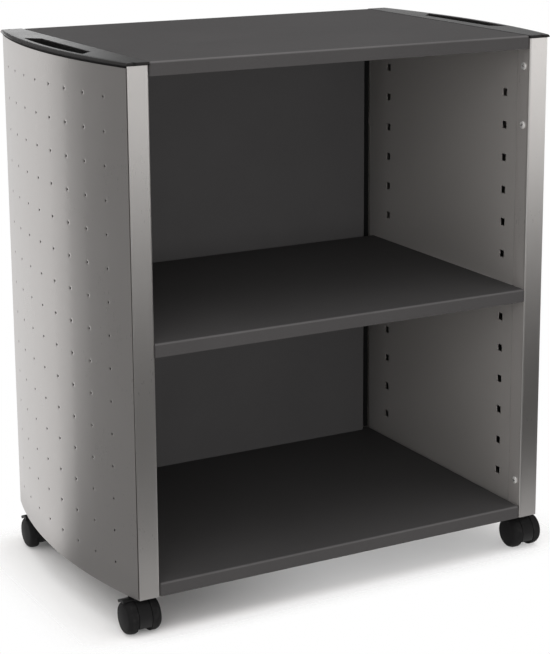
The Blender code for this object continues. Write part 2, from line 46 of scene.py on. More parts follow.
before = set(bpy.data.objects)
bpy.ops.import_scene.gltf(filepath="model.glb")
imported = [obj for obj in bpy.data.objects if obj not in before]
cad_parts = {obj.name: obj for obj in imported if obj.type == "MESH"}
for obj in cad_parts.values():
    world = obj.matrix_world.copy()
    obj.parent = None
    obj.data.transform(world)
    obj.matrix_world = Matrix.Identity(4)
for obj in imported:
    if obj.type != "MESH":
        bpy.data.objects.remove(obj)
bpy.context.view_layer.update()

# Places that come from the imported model
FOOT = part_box("right_outer_panel")[0].z
SIDE_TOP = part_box("right_outer_panel")[1].z
SIDE_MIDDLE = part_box("right_outer_panel")[1].x  # where the curved panel stands out most
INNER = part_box("right_front_post")[0].x
HALF = -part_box("right_front_post")[0].y
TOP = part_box("top_plate")[1].z
CAP_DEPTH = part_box("right_handle_cap")[1].y
CAP_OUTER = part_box("right_handle_cap")[1].x
COLLAR_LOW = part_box("right_handle_cap")[0].z
AXLE_HEIGHT = sum(c.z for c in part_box("caster_axle_front_right")) / 2
HOOD_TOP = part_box("caster_hood_front_right")[1].z
HOOD_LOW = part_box("caster_hood_front_right")[0].z

# Sheet metal
POST_FACE = 0.032  # strip from the inner return to the curved panel
POST_RETURN = 0.030
POST_LAP = 0.014
FLANGE_SPARE = 0.003
FIT = 0.0003
BACK_RECESS = 0.017
BACK_STEP = 0.018
SEAM = 0.0012  # dark joint between a curved panel and the posts' strips
CAP_GAP = 0.0028  # joint under the caps, dark from its own shade and from painted shade on the cap's walls
DIMPLE_SAG = 0.55  # share of a dimple's depth halfway to the hole
ON_BORDER = 0.9999  # share of the way from the middle to the border of the punched cells
JOINT_INSET = 0.0005  # the joint's face behind the curved panel's
JOINT_PLAY = 0.00005
BRACKET = 0.014  # part of a post's lap that lies behind its strip
FOOT_BAND_HEIGHT = 0.05  # band above the foot where the metal is darker and duller
FACE_SKIN = 0.002  # how deep the front and rear faces reach into the finish of the posts
SHADE_GAP_EDGE = 0.001  # how far inside the edge of the back panel's face the painted shade starts
SHADE_GAP_FADE = 0.004  # how far behind that face it is full
FOLD_STEPS = 8
OUTER = INNER + POST_FACE
BULGE = SIDE_MIDDLE - OUTER
SIDE_RADIUS = (HALF**2 + BULGE**2) / (2 * BULGE)
ARC_CENTRE = SIDE_MIDDLE - SIDE_RADIUS

# Handle caps
CAP_OVERHANG = CAP_OUTER - SIDE_MIDDLE
CAP_LOW = SIDE_TOP + FIT
CAP_CHAMFER = 0.0006
CAP_SHOULDER = CAP_LOW + 0.0008
CAP_END_SLOPE = 0.0012
GRIP_WIDTH = 0.0145  # bar between the slot and the outer edge
GRIP_ROLL = 0.0075  # width of the rolled edge at mid-depth
GRIP_ROLL_END = 0.002
SLOT_WIDTH = 0.0265
SLOT_HALF = 0.092
SLOT_FLARE = 0.020
COLLAR_WALL = 0.002
RIM_DEPTH = 0.012  # locating rim inside the side
RIM_STEPS = 24
ROLL_STEPS = 9
ROLL_ROUNDNESS = 0.4
FILLET_STEPS = 5
END_STATIONS = 14
SLOT_STATIONS = 40

# Casters
TRAIL = 0.016
WHEEL_WIDTH = 0.0165
WHEEL_PLAY = 0.0004
WHEEL_BEVEL = 0.0015
BEVEL_MIDDLE = 0.3  # share of the bevel that is cut at its middle
WHEEL_DOME = 0.0012
WHEEL_EDGE = 0.009  # rounding of the outer edge, along the axle
WHEEL_CROWN = 0.0055  # the same across the axle
TREAD_DEPTH = 0.00055  # how far the edge falls away where the tread ends
WHEEL_EDGE_STEPS = 10
WHEEL_SIDES = 72
GROOVE_INSET = 0.0008  # groove round a wheel's cover, from the rounded edge
GROOVE_HALF = 0.0003
GROOVE_DEPTH = 0.0002
GROOVE_LIPS = (0.00005, 0.00008)  # rise of its outer and inner lip
COVER_DOME = ((0.66, 0.62), (0.33, 0.92))  # shares of the cover's radius and of the dome's height
HOOD_HALF = 0.010
HOOD_RADIUS = 0.0245
HOOD_SIDES = 96
HOOD_SOFT = 0.0008  # rounding of its edges
BOSS_SOFT = 0.0006
SOFT_STEPS = 3
FENDER_PLAY = 0.0011
FENDER_OUTER = 0.0281
FENDER_LIP = 0.0046  # depth of its outer edges
FENDER_FROM = math.radians(78)
FENDER_TO = math.radians(125)
FENDER_STEPS = 20
STEM_BORE = 0.0052
STEM_DEPTH = 0.02
AXLE_BORE = 0.0032
WHEEL_COVER = 0.004  # wall that closes a wheel's bore
FAR = 0.1  # past every part of a caster

# Screws
POST_SCREWS = 3
HEAD_RADIUS = 0.0058
HEAD_EDGE = 0.0008
HEAD_CROWN = 0.0014
HEAD_SIDES = 32
HEAD_STEPS = 6
CROSS_LENGTH = 0.0064
CROSS_WIDTH = 0.0015
CROSS_DEPTH = 0.0011
CROSS_SHADE_SHARE = 0.9  # share of its depth, and of the head's radius, that bounds the painted shade on its floor
CROSS_TURN = 0.9  # turn from one screw's cross to the next

# Stage
FLOOR_HALF = 3.0
FLOOR_STEPS = 8
SHADOW_REACH = 0.13  # how far the floor shows beside the trolley's plan
SHADOW_START = 0.04  # where it starts to fade, inside the front and rear edges
SHADOW_FADE = 0.085  # how far it goes on from there
SHADOW_PALE_RIGHT = 0.33  # share of the floor that is left out to the right
SHADOW_PALE_FROM = 0.05  # where that share is full
SHADOW_PALE_BESIDE = 0.2  # the same beside the left side
LIT_INSIDE = "lit inside"  # collection of what the light inside falls on
SOFTBOXES = {  # place, target and size of each soft light
    "overhead": ((0.2, -0.1, 3.0), (0, 0, 0), (2.6, 2.4)),
    "front": ((-2.2, -2.8, 1.9), (0.2, 0, 0.45), (2.0, 1.6)),
    "inside": ((-0.4, -2.6, 0.55), (0, 0.2, 0.45), (1.6, 0.6)),
}
CAMERA_PLACE = (-1.357, -2.539, 1.142)
CAMERA_YAW = math.radians(29.94)
CAMERA_PITCH = math.radians(12.78)
CAMERA_FOCUS = 1890.0  # in pixels of the picture
CAMERA_MIDDLE = (332.0, 246.0)  # where the lens axis meets the picture
PICTURE = (550.0, 654.0)
SENSOR = 36.0

# Names and tolerances
SIDES = {"left": -1, "right": 1}
ENDS = ("front", "rear")
SMOOTH_ANGLE = math.radians(32)
BREAK_ANGLE = math.radians(50)
MERGE = 0.00001


class Field:
    """One output socket of a node tree. Arithmetic on it adds Math nodes."""

    def __init__(self, tree, socket):
        self.tree = tree
        self.socket = socket

    def maths(self, operation, *others):
        """A Math node's result, with this value as its first input."""
        return self.tree.maths(operation, self, *others)

    def out(self, name):
        """Another output of the same node."""
        return Field(self.tree, self.socket.node.outputs[name])

    def __add__(self, other):
        return self.maths("ADD", other)

    def __sub__(self, other):
        return self.maths("SUBTRACT", other)

    def __rsub__(self, other):
        return self.tree.maths("SUBTRACT", other, self)

    def __mul__(self, other):
        return self.maths("MULTIPLY", other)

    def __truediv__(self, other):
        return self.maths("DIVIDE", other)

    def __gt__(self, other):
        return self.maths("GREATER_THAN", other)

    __radd__ = __add__
    __rmul__ = __mul__


class Tree:
    """Adds nodes to a shader tree or a Geometry Nodes tree."""

    def __init__(self, tree):
        self.tree = tree

    def node(self, kind, settings=None, sockets=None, output=0):
        """A node of a type, with its settings made first and then its sockets filled or linked."""
        made = self.tree.nodes.new(kind)
        for name, value in (settings or {}).items():
            if name == "stops":
                set_stops(made.color_ramp, value)
            else:
                setattr(made, name, value)
        for name, value in (sockets or {}).items():
            for one in value if isinstance(value, list) else [value]:
                if isinstance(one, Field):
                    self.tree.links.new(one.socket, made.inputs[name])
                else:
                    made.inputs[name].default_value = one
        return Field(self, made.outputs[output]) if made.outputs else made

    def maths(self, operation, *values):
        return self.node("ShaderNodeMath", {"operation": operation}, dict(enumerate(values)))

    def axis(self, vector, name="X"):
        """One coordinate of a vector."""
        return self.node("ShaderNodeSeparateXYZ", sockets={0: vector}, output=name)

    def mixed(self, factor, first, second):
        """A colour between two colours."""
        return self.node("ShaderNodeMix", {"data_type": "RGBA"}, {0: factor, 6: first, 7: second}, 2)

    def ramp(self, value, low, high):
        """A value taken from 0 to 1 as it goes from low to high."""
        return self.node("ShaderNodeMapRange", {"interpolation_type": "SMOOTHSTEP"},
                         {"Value": value, "From Min": low, "From Max": high})


def set_stops(ramp, stops):
    for number, (place, colour) in enumerate(stops):
        stop = ramp.elements[number] if number < 2 else ramp.elements.new(place)
        stop.position = place
        stop.color = colour


def shade(colour, factor=1.0):
    """A colour with alpha, made darker or lighter."""
    return (*[channel * factor for channel in colour], 1.0)


def new_material(name):
    """An empty node material with its Principled shader and its Object coordinates."""
    material = bpy.data.materials.new(name)
    material.use_nodes = True
    tree = Tree(material.node_tree)
    shader = material.node_tree.nodes["Principled BSDF"]
    place = tree.node("ShaderNodeTexCoord", output="Object")
    return material, tree, shader, place


def plug(tree, shader, values):
    """Fills or links the shader's sockets."""
    for name, value in values.items():
        if isinstance(value, Field):
            tree.tree.links.new(value.socket, shader.inputs[name])
        else:
            shader.inputs[name].default_value = value


def noise(tree, place, scale, detail=2.0, stretch=(1, 1, 1)):
    """Smooth noise round one half; scale counts patches in each metre."""
    if stretch != (1, 1, 1):
        place = tree.node("ShaderNodeMapping", sockets={"Vector": place, "Scale": stretch})
    return tree.node("ShaderNodeTexNoise", sockets={"Vector": place, "Scale": scale, "Detail": detail})


def bumped(tree, height, depth, strength=1.0):
    return tree.node("ShaderNodeBump", sockets={"Height": height, "Distance": depth, "Strength": strength},
                     output="Normal")


def silver_finish(name, colour, roughness, metallic, grain, streaks=0.08, inside=None):
    """Satin silver sheet: metal with a fine upright grain, faint clouds, and darker, duller metal near the
    foot.

    With inside, the metal behind the front and rear faces is less mirror-like.
    """
    material, tree, shader, place = new_material(name)
    if inside is not None:
        depth = tree.axis(place, "Y").maths("ABSOLUTE")
        face = tree.ramp(depth, HALF - 2 * FACE_SKIN, HALF - FACE_SKIN)
        metallic = inside + face * (metallic - inside)
    clouds = noise(tree, place, 7.0, 3.0)
    fine = noise(tree, place, 1400.0, 1.0, (1, 1, 0.05))
    speck = noise(tree, place, 2600.0, 0.0)
    height = tree.axis(place, "Z")
    foot_band = 1 - tree.ramp(height + (clouds - 0.5) * 0.05, FOOT, FOOT + FOOT_BAND_HEIGHT)
    tint = tree.mixed(clouds, shade(colour, 0.955), shade(colour, 1.03))
    tint = tree.mixed(speck * 0.12, tint, shade(colour, 0.72))
    plug(tree, shader, {
        "Base Color": tree.mixed(foot_band * 0.18, tint, shade(colour, 0.6)),
        "Metallic": metallic,
        "Roughness": roughness + (clouds - 0.5) * 0.07 + (fine - 0.5) * streaks + foot_band * 0.06,
        "Normal": bumped(tree, fine * 0.7 + speck * 0.3, grain, 0.25),
    })
    return material


def powder_coat_finish(name, colour, gap=None):
    """Anthracite powder coat: fine orange peel, small specks, and folds painted a little lighter as a
    painted highlight.

    With gap, a half width and a depth, the coat beside and behind these is painted dark as painted shade,
    and upright folds get the painted highlight too.
    """
    material, tree, shader, place = new_material(name)
    peel = noise(tree, place, 620.0, 2.0)
    speck = noise(tree, place, 1900.0, 1.0)
    clouds = noise(tree, place, 9.0, 4.0)
    tint = tree.mixed(clouds, shade(colour, 0.90), shade(colour, 1.10))
    tint = tree.mixed(tree.ramp(speck, 0.60, 0.72) * 0.35, tint, shade(colour, 1.9))
    facing = tree.node("ShaderNodeNewGeometry", output="Normal")
    slant = tree.axis(facing)
    lean = slant.out("Z")
    if gap is not None:
        lean = lean.maths("MAXIMUM", slant.maths("ABSOLUTE"))
    # Painted highlight: folds that turn from the front towards the top, or with gap also towards a side,
    # are painted lighter.
    fold_highlight = tree.ramp(slant.out("Y") * lean * -1, 0.15, 0.45)
    tint = tree.mixed(fold_highlight * (0.2 + clouds * 0.5), tint, shade(colour, 2.2))
    if gap is not None:
        # Painted shade: the coat in the gap beside and behind the back panel's face is painted nearly
        # black.
        spot = tree.axis(place)
        width, depth = gap
        beside = tree.ramp(spot.maths("ABSOLUTE"), width - SHADE_GAP_EDGE, width)
        behind = tree.ramp(spot.out("Y"), depth, depth + SHADE_GAP_FADE)
        tint = tree.mixed(beside * behind, tint, shade(colour, 0.12))
    plug(tree, shader, {
        "Base Color": tint,
        "Roughness": 0.50 + (clouds - 0.5) * 0.14 + (peel - 0.5) * 0.10,
        "Specular IOR Level": 0.05,
        "Normal": bumped(tree, peel * 0.8 + speck * 0.2, 0.00006, 0.35),
    })
    return material


def moulded_finish(name, colour, roughness, gloss, grain_depth, matt_shade_below=0.0):
    """Moulded plastic: fine spark-eroded grain, soft sheen and faint handling marks.

    The walls under a given height are made matt and painted dark, as painted shade in the joint under the
    cap.
    """
    material, tree, shader, place = new_material(name)
    grain = noise(tree, place, 1500.0, 2.0)
    clouds = noise(tree, place, 16.0, 4.0)
    marks = tree.ramp(noise(tree, place, 90.0, 5.0, (1, 0.18, 1)), 0.60, 0.78)
    height = tree.axis(place, "Z")
    # Painted shade: below the given height the plastic is painted dark and made matt.
    matt = 1 - tree.ramp(height, matt_shade_below - FIT, matt_shade_below)
    tint = tree.mixed(clouds, shade(colour, 0.92), shade(colour, 1.09))
    tint = tree.mixed(marks * 0.14, tint, shade(colour, 1.7))
    plug(tree, shader, {
        "Base Color": tree.mixed(matt, tint, shade(colour, 0.25)),
        "Roughness": roughness + (clouds - 0.5) * 0.10 + marks * 0.07 + matt * 0.7,
        "Specular IOR Level": gloss,
        "Normal": bumped(tree, grain, grain_depth, 0.3),
    })
    return material


def wheel_finish(name, colour):
    """Black wheels: smooth faces, and a duller tread with a trace of floor dust."""
    material, tree, shader, place = new_material(name)
    tread = tree.node("ShaderNodeAttribute", {"attribute_name": "tread"}, output="Fac")
    grain = noise(tree, place, 1300.0, 2.0)
    scuffs = noise(tree, place, 160.0, 5.0)
    dust = tread * tree.ramp(scuffs, 0.42, 0.75)
    tint = tree.mixed(scuffs, shade(colour, 0.85), shade(colour, 1.2))
    plug(tree, shader, {
        "Base Color": tree.mixed(dust * 0.08, tint, (0.11, 0.105, 0.10, 1)),
        "Roughness": 0.38 + tread * 0.16 + (scuffs - 0.5) * 0.12,
        "Specular IOR Level": 0.025,
        "Normal": bumped(tree, grain, 0.00002, 0.3),
    })
    return material


def zinc_finish(name, colour, metallic=1.0, brightness=1.0):
    """Zinc-plated steel: metal with a faint crystal pattern and fine scratches, and painted shade in
    recesses.
    """
    material, tree, shader, place = new_material(name)
    crystals = tree.node("ShaderNodeTexVoronoi", sockets={"Vector": place, "Scale": 260.0}, output="Color")
    flake = tree.node("ShaderNodeSeparateColor", sockets={0: crystals}, output="Red")
    scratches = noise(tree, place, 2200.0, 2.0, (1, 0.1, 1))
    # Painted shade: the marked floor of a recess is painted nearly black.
    recess = tree.node("ShaderNodeAttribute", {"attribute_name": "recess"}, output="Fac")
    # A brightness above 1 paints the plating lighter, as a painted highlight.
    plate = tree.mixed(flake, shade(colour, 0.86 * brightness), shade(colour, 1.06 * brightness))
    plug(tree, shader, {
        "Base Color": tree.mixed(recess, plate, shade(colour, 0.03)),
        "Metallic": metallic,
        "Roughness": 0.26 + flake * 0.10 + (scratches - 0.5) * 0.10,
        "Normal": bumped(tree, scratches, 0.00004, 0.4),
    })
    return material


def floor_finish(name, colour):
    """Pale floor. It holds the shadow and fades into the white background round the trolley's plan."""
    material, tree, shader, place = new_material(name)
    spot = tree.axis(place)
    beside = spot.maths("ABSOLUTE") - OUTER
    before = (spot.out("Y").maths("ABSOLUTE") - (HALF - SHADOW_START)) * (SHADOW_REACH / SHADOW_FADE)
    outside = tree.node("ShaderNodeCombineXYZ", sockets={
        "X": beside.maths("MAXIMUM", 0.0), "Y": before.maths("MAXIMUM", 0.0)})
    away = tree.node("ShaderNodeVectorMath", {"operation": "LENGTH"}, {0: outside}, output="Value")
    pale = tree.ramp(spot, -INNER, SHADOW_PALE_FROM) * SHADOW_PALE_RIGHT
    pale = pale + tree.ramp(spot * -1, INNER, SIDE_MIDDLE) * SHADOW_PALE_BESIDE
    clouds = noise(tree, place, 3.0, 3.0)
    plug(tree, shader, {
        "Base Color": tree.mixed(clouds, shade(colour, 0.995), shade(colour)),
        "Roughness": 0.85,
        "Specular IOR Level": 0.1,
        "Alpha": (1 - tree.ramp(away, 0.0, SHADOW_REACH)) * (1 - pale),
    })
    return material


def new_object(name, data):
    """An object in the scene's own collection."""
    made = bpy.data.objects.new(name, data)
    bpy.context.scene.collection.objects.link(made)
    return made


def baked(helper):
    """The mesh of a helper object with its modifiers applied; the helper is removed."""
    graph = bpy.context.evaluated_depsgraph_get()
    mesh = bpy.data.meshes.new_from_object(helper.evaluated_get(graph))
    helper.modifiers.clear()
    bpy.data.objects.remove(helper)
    return mesh


def flattened(mesh):
    """A mesh whose normals follow its large faces, so that a bevel doesn't bend a flat face's shading."""
    helper = new_object("helper", mesh)
    weights = helper.modifiers.new("weights", "WEIGHTED_NORMAL")
    weights.mode = "FACE_AREA"
    weights.weight = 80
    weights.keep_sharp = True
    return baked(helper)


def new_piece(name, mesh, material=None):
    """Links a mesh to the scene as one smooth-shaded piece with crisp edges."""
    mesh.shade_smooth()
    mesh.set_sharp_from_angle(angle=SMOOTH_ANGLE)
    if material:
        mesh = flattened(mesh)
        mesh.materials.clear()
        mesh.materials.append(material)
    mesh.name = name
    return new_object(name, mesh)


def mesh_from(name, bm):
    """Turns bm into a mesh."""
    mesh = bpy.data.meshes.new(name)
    bm.to_mesh(mesh)
    bm.free()
    return mesh


def closed_mesh(name, bm):
    """A mesh from bm with its doubles merged and its faces pointing out."""
    bmesh.ops.remove_doubles(bm, verts=bm.verts, dist=MERGE)
    bmesh.ops.recalc_face_normals(bm, faces=bm.faces)
    return mesh_from(name, bm)


def marked(mesh, name, test):
    """Gives a mesh an attribute that is 1 at the points that pass a test and 0 elsewhere."""
    mask = mesh.attributes.new(name, "FLOAT", "POINT")
    for vertex in mesh.vertices:
        mask.data[vertex.index].value = float(test(vertex.co))
    return mesh


def softened(mesh, width, segments=2):
    """A mesh with its sharp edges broken by a small bevel."""
    helper = new_object("helper", mesh)
    bevel = helper.modifiers.new("edge break", "BEVEL")
    bevel.width = width
    bevel.segments = segments
    bevel.limit_method = "ANGLE"
    bevel.angle_limit = BREAK_ANGLE
    return baked(helper)


def combined(mesh, joins=(), cuts=()):
    """A mesh with others joined to it and then others cut from it."""
    body = new_object("helper", mesh)
    helpers = []
    for operation, meshes in (("UNION", joins), ("DIFFERENCE", cuts)):
        for other in meshes:
            helpers.append(new_object("helper", other))
            step = body.modifiers.new(operation.lower(), "BOOLEAN")
            step.operation = operation
            step.solver = "EXACT"
            step.object = helpers[-1]
    bm = bmesh.new()
    bm.from_mesh(baked(body))
    for helper in helpers:
        bpy.data.objects.remove(helper)
    bmesh.ops.remove_doubles(bm, verts=bm.verts, dist=MERGE)
    bmesh.ops.dissolve_degenerate(bm, edges=bm.edges, dist=MERGE)
    return mesh_from("combined", bm)


def mirrored(mesh):
    """A copy of a mesh reflected from right to left."""
    other = mesh.copy()
    other.transform(Matrix.Scale(-1, 4, (1, 0, 0)))
    other.flip_normals()
    return other


def spread(low, high, steps):
    return [low + (high - low) * i / steps for i in range(steps + 1)]


def along_x(u, v, w):
    return (w, u, v)


def along_z(u, v, w):
    return (u, v, w)


def prism(outline, low, high, place=along_z):
    """A flat outline pushed from low to high along an axis."""
    bm = bmesh.new()
    ends = [[bm.verts.new(place(u, v, w)) for u, v in outline] for w in (low, high)]
    count = len(outline)
    for i in range(count):
        j = (i + 1) % count
        bm.faces.new((ends[0][i], ends[0][j], ends[1][j], ends[1][i]))
    for end in ends:
        bm.faces.new(end)
    return closed_mesh("prism", bm)


def disc(radius, low, high, centre=(0, 0), place=along_z, sides=48):
    turns = [2 * math.pi * i / sides for i in range(sides)]
    outline = [(centre[0] + radius * math.cos(a), centre[1] + radius * math.sin(a)) for a in turns]
    return prism(outline, low, high, place)


def folded(path, sheet, bend, low, high, place=along_z):
    """A folded sheet with rounded folds: path is its right-hand face, and the metal lies to the left."""
    path = [Vector(point) for point in path]
    near, far = [], []

    def add(point, heading):
        near.append(point)
        far.append(point + Vector((-heading.y, heading.x)) * sheet)

    add(path[0], (path[1] - path[0]).normalized())
    for before, corner, after in zip(path, path[1:], path[2:]):
        heading = (corner - before).normalized()
        turn = heading.angle_signed((after - corner).normalized()) * -1
        side = 1 if turn > 0 else -1
        radius = bend + sheet if turn > 0 else bend
        start = corner - heading * radius * math.tan(abs(turn) / 2)
        centre = start + Vector((-heading.y, heading.x)) * side * radius
        for step in range(FOLD_STEPS + 1):
            now = Matrix.Rotation(turn * step / FOLD_STEPS, 2) @ heading
            add(centre - Vector((-now.y, now.x)) * side * radius, now)
    add(path[-1], (path[-1] - path[-2]).normalized())
    return prism([tuple(p) for p in near + far[::-1]], low, high, place)


def tray(low, high, sheet, bend):
    """A sheet with lips turned down on all four sides and rounded edges."""
    bm = bmesh.new()
    size = Vector(high) - Vector(low)
    bmesh.ops.create_cube(bm, size=1, matrix=Matrix.Diagonal((*size, 1)))
    bmesh.ops.translate(bm, verts=bm.verts, vec=(Vector(low) + Vector(high)) / 2)
    under = [face for face in bm.faces if face.normal.z < -0.5]
    bmesh.ops.delete(bm, geom=under, context="FACES_ONLY")
    rounded = [edge for edge in bm.edges if not edge.is_boundary]
    bmesh.ops.bevel(bm, geom=rounded, offset=bend + sheet, segments=FOLD_STEPS, affect="EDGES", profile=0.5)
    helper = new_object("helper", mesh_from("tray", bm))
    wall = helper.modifiers.new("sheet", "SOLIDIFY")
    wall.thickness = sheet
    wall.offset = -1
    wall.use_even_offset = True
    return baked(helper)


def side_x(y, offset=0.0):
    """Plan of the right side's curved outer face, or of a line parallel to it."""
    return ARC_CENTRE + math.sqrt((SIDE_RADIUS + offset) ** 2 - y**2)


def grip_x(y):
    """Plan of the line between the flat of a cap and its rolled edge."""
    end = side_x(HALF, CAP_OVERHANG) - GRIP_ROLL_END
    middle = side_x(0, CAP_OVERHANG) - GRIP_ROLL
    return middle + (end - middle) * (y / HALF) ** 2


def settle(piece, body, slot, *nodes):
    """Ties a finished piece to its body and hides the nodes that it stands for. Its slot is not used."""
    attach(piece, body)
    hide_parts(*nodes)


def both_sides(name, right_mesh, material, slot):
    """A piece of the right side and its mirror image on the left."""
    for side, mesh in (("left", mirrored(right_mesh)), ("right", right_mesh)):
        node = f"{side}_{name}"
        settle(new_piece(node + "_dressed", mesh, material), "trolley", slot, node)


def length_property(name, description, default, low, high):
    return bpy.props.FloatProperty(
        name=name, description=description, default=default, min=low, max=high, unit="LENGTH", precision=5)


def count_property(name, description, default, high):
    return bpy.props.IntProperty(name=name, description=description, default=default, min=1, max=high)


def colour_property(name, description, default):
    return bpy.props.FloatVectorProperty(
        name=name, description=description, default=default, min=0.0, max=1.0, size=3, subtype="COLOR")


def light_property(name, description, default, high):
    return bpy.props.FloatProperty(name=name, description=description, default=default, min=0.0, max=high)


class TrolleySizes(bpy.types.PropertyGroup):
    """Sizes of the trolley's details."""

    perforation: length_property(
        "Perforation", "Diameter of the round holes in the curved sides", 0.0034, 0.001, 0.012)
    dimple_width: length_property(
        "Dimple width", "Diameter of the pressed ring round each hole", 0.0062, 0.002, 0.02)
    dimple_depth: length_property(
        "Dimple depth", "How far each hole's edge is pressed in", 0.0003, 0.0, 0.002)
    columns: count_property("Columns", "Upright rows of holes on each side", 8, 30)
    rows: count_property("Rows", "Level rows of holes on each side", 15, 60)
    column_pitch: length_property(
        "Column pitch", "Distance between columns along the curve", 0.052, 0.01, 0.2)
    row_pitch: length_property("Row pitch", "Distance between rows", 0.048, 0.01, 0.2)
    sheet: length_property("Sheet", "Thickness of the sheet metal", 0.0015, 0.0005, 0.003)
    bend: length_property("Bend", "Inner radius of the folds", 0.002, 0.0005, 0.006)
    edge_break: length_property("Edge break", "Bevel on cut edges", 0.0003, 0.0, 0.001)
    slot_fillet: length_property(
        "Slot fillet", "Radius round the top of each grip slot", 0.0009, 0.0001, 0.0018)


class TrolleyColours(bpy.types.PropertyGroup):
    """Colours of the trolley's finishes."""

    side: colour_property("Curved sides", "Silver of the perforated panels", (0.545, 0.522, 0.508))
    post: colour_property("Posts", "Silver of the corner posts", (0.70, 0.675, 0.655))
    inner: colour_property("Inner panels", "Silver inside the compartments", (0.47, 0.455, 0.44))
    shelf: colour_property("Shelves", "Powder coat of plate, shelves and back", (0.064, 0.0624, 0.0630))
    cap: colour_property("Handle caps", "Grey plastic of the caps", (0.019, 0.0182, 0.018))
    caster: colour_property("Casters", "Black plastic of hoods and wheels", (0.0140, 0.0140, 0.0145))
    zinc: colour_property("Zinc", "Plated steel of screws and hidden hardware", (0.62, 0.62, 0.61))
    floor: colour_property("Floor", "Pale floor of the stage", (0.93, 0.93, 0.93))


class TrolleyLight(bpy.types.PropertyGroup):
    """Light on the stage. A white surface in full light has a radiance of about 1."""

    overhead: light_property("Overhead", "Radiance of the large soft light above", 1.9, 20.0)
    front: light_property("Front", "Radiance of the soft light at the left front", 1.4, 10.0)
    inside: light_property("Inside", "Radiance of the soft light that only the back panel gets", 7.0, 20.0)
    fill: light_property("Fill", "Soft light from all round", 0.95, 2.0)
    wall: light_property("Wall", "Brightness of the white wall that the caps and sides reflect", 0.93, 4.0)
    dark: light_property("Dark", "Brightness of the dim parts of the studio in reflections", 0.13, 1.0)


def punched_cell(width, height, hole, dimple, depth, corners=16):
    """A flat cell with one round hole, as rings from the hole's edge out to the cell's border."""
    bm = bmesh.new()
    turns = [2 * math.pi * i / corners for i in range(corners)]
    halfway = (hole + dimple) / 2, depth * DIMPLE_SAG
    rings = []
    for radius, drop in ((hole, depth), halfway, (dimple, 0), (dimple * 2, 0)):
        rings.append([bm.verts.new((radius * math.cos(a), radius * math.sin(a), -drop)) for a in turns])
    border = []
    for a in turns:
        reach = max(abs(math.cos(a)), abs(math.sin(a)))
        border.append(bm.verts.new((math.cos(a) / reach * width / 2, math.sin(a) / reach * height / 2, 0)))
    rings.append(border)
    for inside, outside in zip(rings, rings[1:]):
        for i in range(corners):
            j = (i + 1) % corners
            bm.faces.new((inside[i], outside[i], outside[j], inside[j]))
    return mesh_from("punched cell", bm)


def new_geometry_tree(name, inputs):
    """A Geometry Nodes tree with named inputs. Returns it, its inputs as fields and their identifiers."""
    group = bpy.data.node_groups.new(name, "GeometryNodeTree")
    group.interface.new_socket("Geometry", in_out="INPUT", socket_type="NodeSocketGeometry")
    group.interface.new_socket("Geometry", in_out="OUTPUT", socket_type="NodeSocketGeometry")
    names = {}
    for label, kind in inputs.items():
        names[label] = group.interface.new_socket(label, in_out="INPUT", socket_type=kind).identifier
    tree = Tree(group)
    given = tree.node("NodeGroupInput")
    return tree, given, names


def end_tree(tree, geometry, material):
    """Realizes what the tree made, gives it its material and puts it out."""
    real = tree.node("GeometryNodeRealizeInstances", sockets={"Geometry": geometry})
    coated = tree.node("GeometryNodeSetMaterial", sockets={"Geometry": real, "Material": material})
    tree.node("NodeGroupOutput", sockets={"Geometry": coated})


